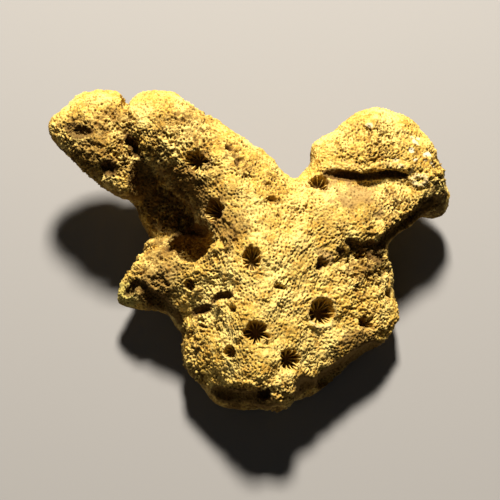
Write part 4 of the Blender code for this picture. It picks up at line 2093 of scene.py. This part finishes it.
@dataclass(frozen=True)
class StoneFinish:
    """The dry ochre limestone that the colony is preserved in.

    Attributes:
        name: What the finish is called.
        body: Its usual colour.
        pale: Its bleached colour.
        warm: Its rusty colour.
        pore: The colour inside its openings, partly dark grit and partly painted shade.
        hollow: The colour of the painted shade in its hollows, pits, gaps, grooves and cups.
        stain_and_shade: The colour of its broken faces, and of the painted shade on faces turned down and
            on shaded places.
        chalk: The colour of its chips, and of the painted highlight on the ridge under the largest cup.
        ash: The colour of its grey patches.
        moss: The colour of its green film.
        dust_and_shade: The colour of the dust, of the painted shade in the lows of its grain and on shaded
            places, and of its finest specks.
        bleach: Its wide bleached patches.
        rust: The rusty patches on them.
        frost: The small bleached patches.
        specks: The finest dark specks.
        roughness: How rough it is.
        sheen: How much it shines at all.
        grain: The size of its finest grain, in millimetres.
        grain_height: The height of that grain, in millimetres.
        grain_detail: How many finer layers that grain has.
        grain_strength: How strongly it shows.
    """

    name: str
    body: Triple = (0.64, 0.41, 0.075)
    pale: Triple = (0.88, 0.66, 0.195)
    warm: Triple = (0.52, 0.27, 0.03)
    pore: Triple = (0.10, 0.055, 0.012)
    hollow: Triple = (0.11, 0.054, 0.011)
    stain_and_shade: Triple = (0.14, 0.072, 0.013)
    chalk: Triple = (0.84, 0.76, 0.50)
    ash: Triple = (0.33, 0.20, 0.065)
    moss: Triple = (0.52, 0.47, 0.12)
    dust_and_shade: Triple = (0.19, 0.095, 0.016)
    bleach: Patches = Patches(4.2, 3.0, 0.38, 0.64)
    rust: Patches = Patches(1.3, 3.0, 0.47, 0.68, 0.75)
    frost: Patches = Patches(0.45, 2.0, 0.52, 0.68, 0.75)
    specks: Patches = Patches(0.24, 1.0, 0.52, 0.72, 0.6)
    roughness: float = 0.93
    sheen: float = 0.2
    grain: float = 0.16
    grain_height: float = 0.08
    grain_detail: float = 3.0
    grain_strength: float = 0.9

    def colour(self, brush: Brush) -> bpy.types.NodeSocket:
        """Lays the colours, from the widest patches to the openings.

        Args:
            brush: What lays the nodes.

        Returns:
            The colour.
        """
        colour = brush.mix(brush.patches(self.bleach), self.body, self.pale)
        colour = brush.mix(brush.patches(self.rust), colour, self.warm)
        colour = brush.mix(brush.patches(self.frost), colour, self.pale)
        colour = brush.mix(brush.patches(self.specks), colour, self.dust_and_shade)
        # The masks for hollows, stains, dust and openings lay painted shade as well as real stain, dust and
        # grit. The chalk mask lays real chips and one painted highlight.
        for kind, over, top in (
            (Mask.ASH, self.ash, 0.8),
            (Mask.MOSS, self.moss, 0.6),
            (Mask.DUST_AND_SHADE, self.dust_and_shade, 0.85),
            (Mask.STAIN_AND_SHADE, self.stain_and_shade, 0.9),
            (Mask.CHALK, self.chalk, 0.9),
            (Mask.HOLLOW_SHADE, self.hollow, 0.95),
            (Mask.PORE, self.pore, 0.75),
        ):
            colour = brush.mix(brush.ramp(brush.mask(kind), 0.0, 1.0, top), colour, over)
        return colour

    def material(self) -> bpy.types.Material:
        """Builds the finish.

        Returns:
            The material.
        """
        made = bpy.data.materials.new(self.name)
        made.use_nodes = True
        nodes, links = made.node_tree.nodes, made.node_tree.links
        surface = nodes["Principled BSDF"]
        surface.inputs["Roughness"].default_value = self.roughness
        surface.inputs["Specular IOR Level"].default_value = self.sheen
        brush = Brush(made.node_tree, nodes.new("ShaderNodeTexCoord").outputs["Object"])
        links.new(self.colour(brush), surface.inputs["Base Color"])
        bump = nodes.new("ShaderNodeBump")
        bump.inputs["Strength"].default_value = self.grain_strength
        bump.inputs["Distance"].default_value = self.grain_height * MM
        links.new(brush.noise(self.grain, self.grain_detail), bump.inputs["Height"])
        links.new(bump.outputs["Normal"], surface.inputs["Normal"])
        return made


@dataclass(frozen=True)
class Studio:
    """The floor, the lights and the camera.

    Attributes:
        target: The point that the camera looks at.
        distance: How far off the camera is.
        tilt: How far the camera leans from straight down, in degrees.
        lens: Its focal length on its sensor, in millimetres.
        key_height: How high the main light stands, in degrees.
        key_distance: How far off it stands.
        key_size: The side of its panel.
        key_power: Its power in watts.
        key_tint: Its colour.
        fill_spot: Where the weak second light stands.
        fill_size: The side of its panel.
        fill_power: Its power in watts.
        fill_tint: Its colour.
        lit: The point that both lights shine on.
        floor_half: Half the floor's side, in metres.
        floor_colour: The floor's colour.
        floor_roughness: How rough the floor is.
        room_colour: The colour of the light from all round.
        room_strength: Its strength.
    """

    target: Triple = (-3.0, 3.0, 12.0)
    distance: float = 162.5
    tilt: float = 20.0
    lens: float = 93.6
    key_height: float = 50.0
    key_distance: float = 400.0
    key_size: float = 60.0
    key_power: float = 4.2
    key_tint: Triple = (1.0, 0.94, 0.86)
    fill_spot: Triple = (-150.0, -250.0, 260.0)
    fill_size: float = 300.0
    fill_power: float = 0.04
    fill_tint: Triple = (0.94, 0.96, 1.0)
    lit: Triple = (0.0, 2.0, 6.0)
    floor_half: float = 0.6
    floor_colour: Triple = (0.28, 0.27, 0.255)
    floor_roughness: float = 0.9
    room_colour: Triple = (1.0, 0.98, 0.95)
    room_strength: float = 0.02

    def light(self, name: str, spot: Triple, size: float, power: float, tint: Triple) -> None:
        """Adds a soft light that shines on the fossil.

        Args:
            name: Its name.
            spot: Where it stands, in millimetres.
            size: The side of its panel, in millimetres.
            power: Its power in watts.
            tint: Its colour.
        """
        lamp = bpy.data.lights.new(name, "AREA")
        lamp.size = size * MM
        lamp.energy = power
        lamp.color = tint
        made = bpy.data.objects.new(name, lamp)
        made.location = Vector(spot) * MM
        aim = Vector(self.lit) - Vector(spot)
        made.rotation_euler = aim.to_track_quat("-Z", "Y").to_euler()
        bpy.context.scene.collection.objects.link(made)

    def floor(self) -> bpy.types.Object:
        """Lays a plain pale floor under the fossil.

        Returns:
            The floor.
        """
        form = bmesh.new()
        bmesh.ops.create_grid(form, x_segments=1, y_segments=1, size=self.floor_half)
        mesh = bpy.data.meshes.new("floor")
        form.to_mesh(mesh)
        form.free()
        made = bpy.data.objects.new("floor", mesh)
        bpy.context.scene.collection.objects.link(made)
        paint = bpy.data.materials.new("floor_paint")
        paint.use_nodes = True
        surface = paint.node_tree.nodes["Principled BSDF"]
        surface.inputs["Base Color"].default_value = (*self.floor_colour, 1.0)
        surface.inputs["Roughness"].default_value = self.floor_roughness
        mesh.materials.append(paint)
        return made

    def camera(self) -> None:
        """Sets up the camera that the fossil is seen with."""
        lens = bpy.data.cameras.new("camera")
        lens.lens = self.lens
        made = bpy.data.objects.new("camera", lens)
        angle = math.radians(self.tilt)
        back = Vector((0.0, -math.sin(angle), math.cos(angle)))
        made.location = (Vector(self.target) + back * self.distance) * MM
        made.rotation_euler = (angle, 0.0, 0.0)
        bpy.context.scene.collection.objects.link(made)
        bpy.context.scene.camera = made

    def build(self) -> None:
        """Sets up everything round the fossil."""
        self.floor()
        height = math.radians(self.key_height)
        key_spot = (0.0, self.key_distance * math.cos(height), self.key_distance * math.sin(height))
        self.light("key", key_spot, self.key_size, self.key_power, self.key_tint)
        self.light("fill", self.fill_spot, self.fill_size, self.fill_power, self.fill_tint)
        room = bpy.data.worlds.new("room")
        room.use_nodes = True
        glow = room.node_tree.nodes["Background"]
        glow.inputs["Color"].default_value = (*self.room_colour, 1.0)
        glow.inputs["Strength"].default_value = self.room_strength
        bpy.context.scene.world = room
        bpy.context.scene.view_settings.view_transform = "Standard"
        self.camera()


def main() -> None:
    """Builds the fossil in its frame, with its studio."""
    logging.basicConfig(level=logging.INFO, format="%(message)s")
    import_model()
    Studio().build()
    finish = StoneFinish("ochre_stone").material()
    for part, piece in Colony().pieces().items():
        piece.data.materials.append(finish)
        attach(piece, "root")
        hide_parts(part.value)
        LOG.info("%s: %d triangles", piece.name, len(piece.data.polygons))
    for number, cup in enumerate(CUPS):
        ribs = Corallite(cup, number).ribs()
        ribs.data.materials.append(finish)
        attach(ribs, "root")
        LOG.info("%s: %d triangles", ribs.name, len(ribs.data.polygons))


if __name__ == "__main__":
    main()
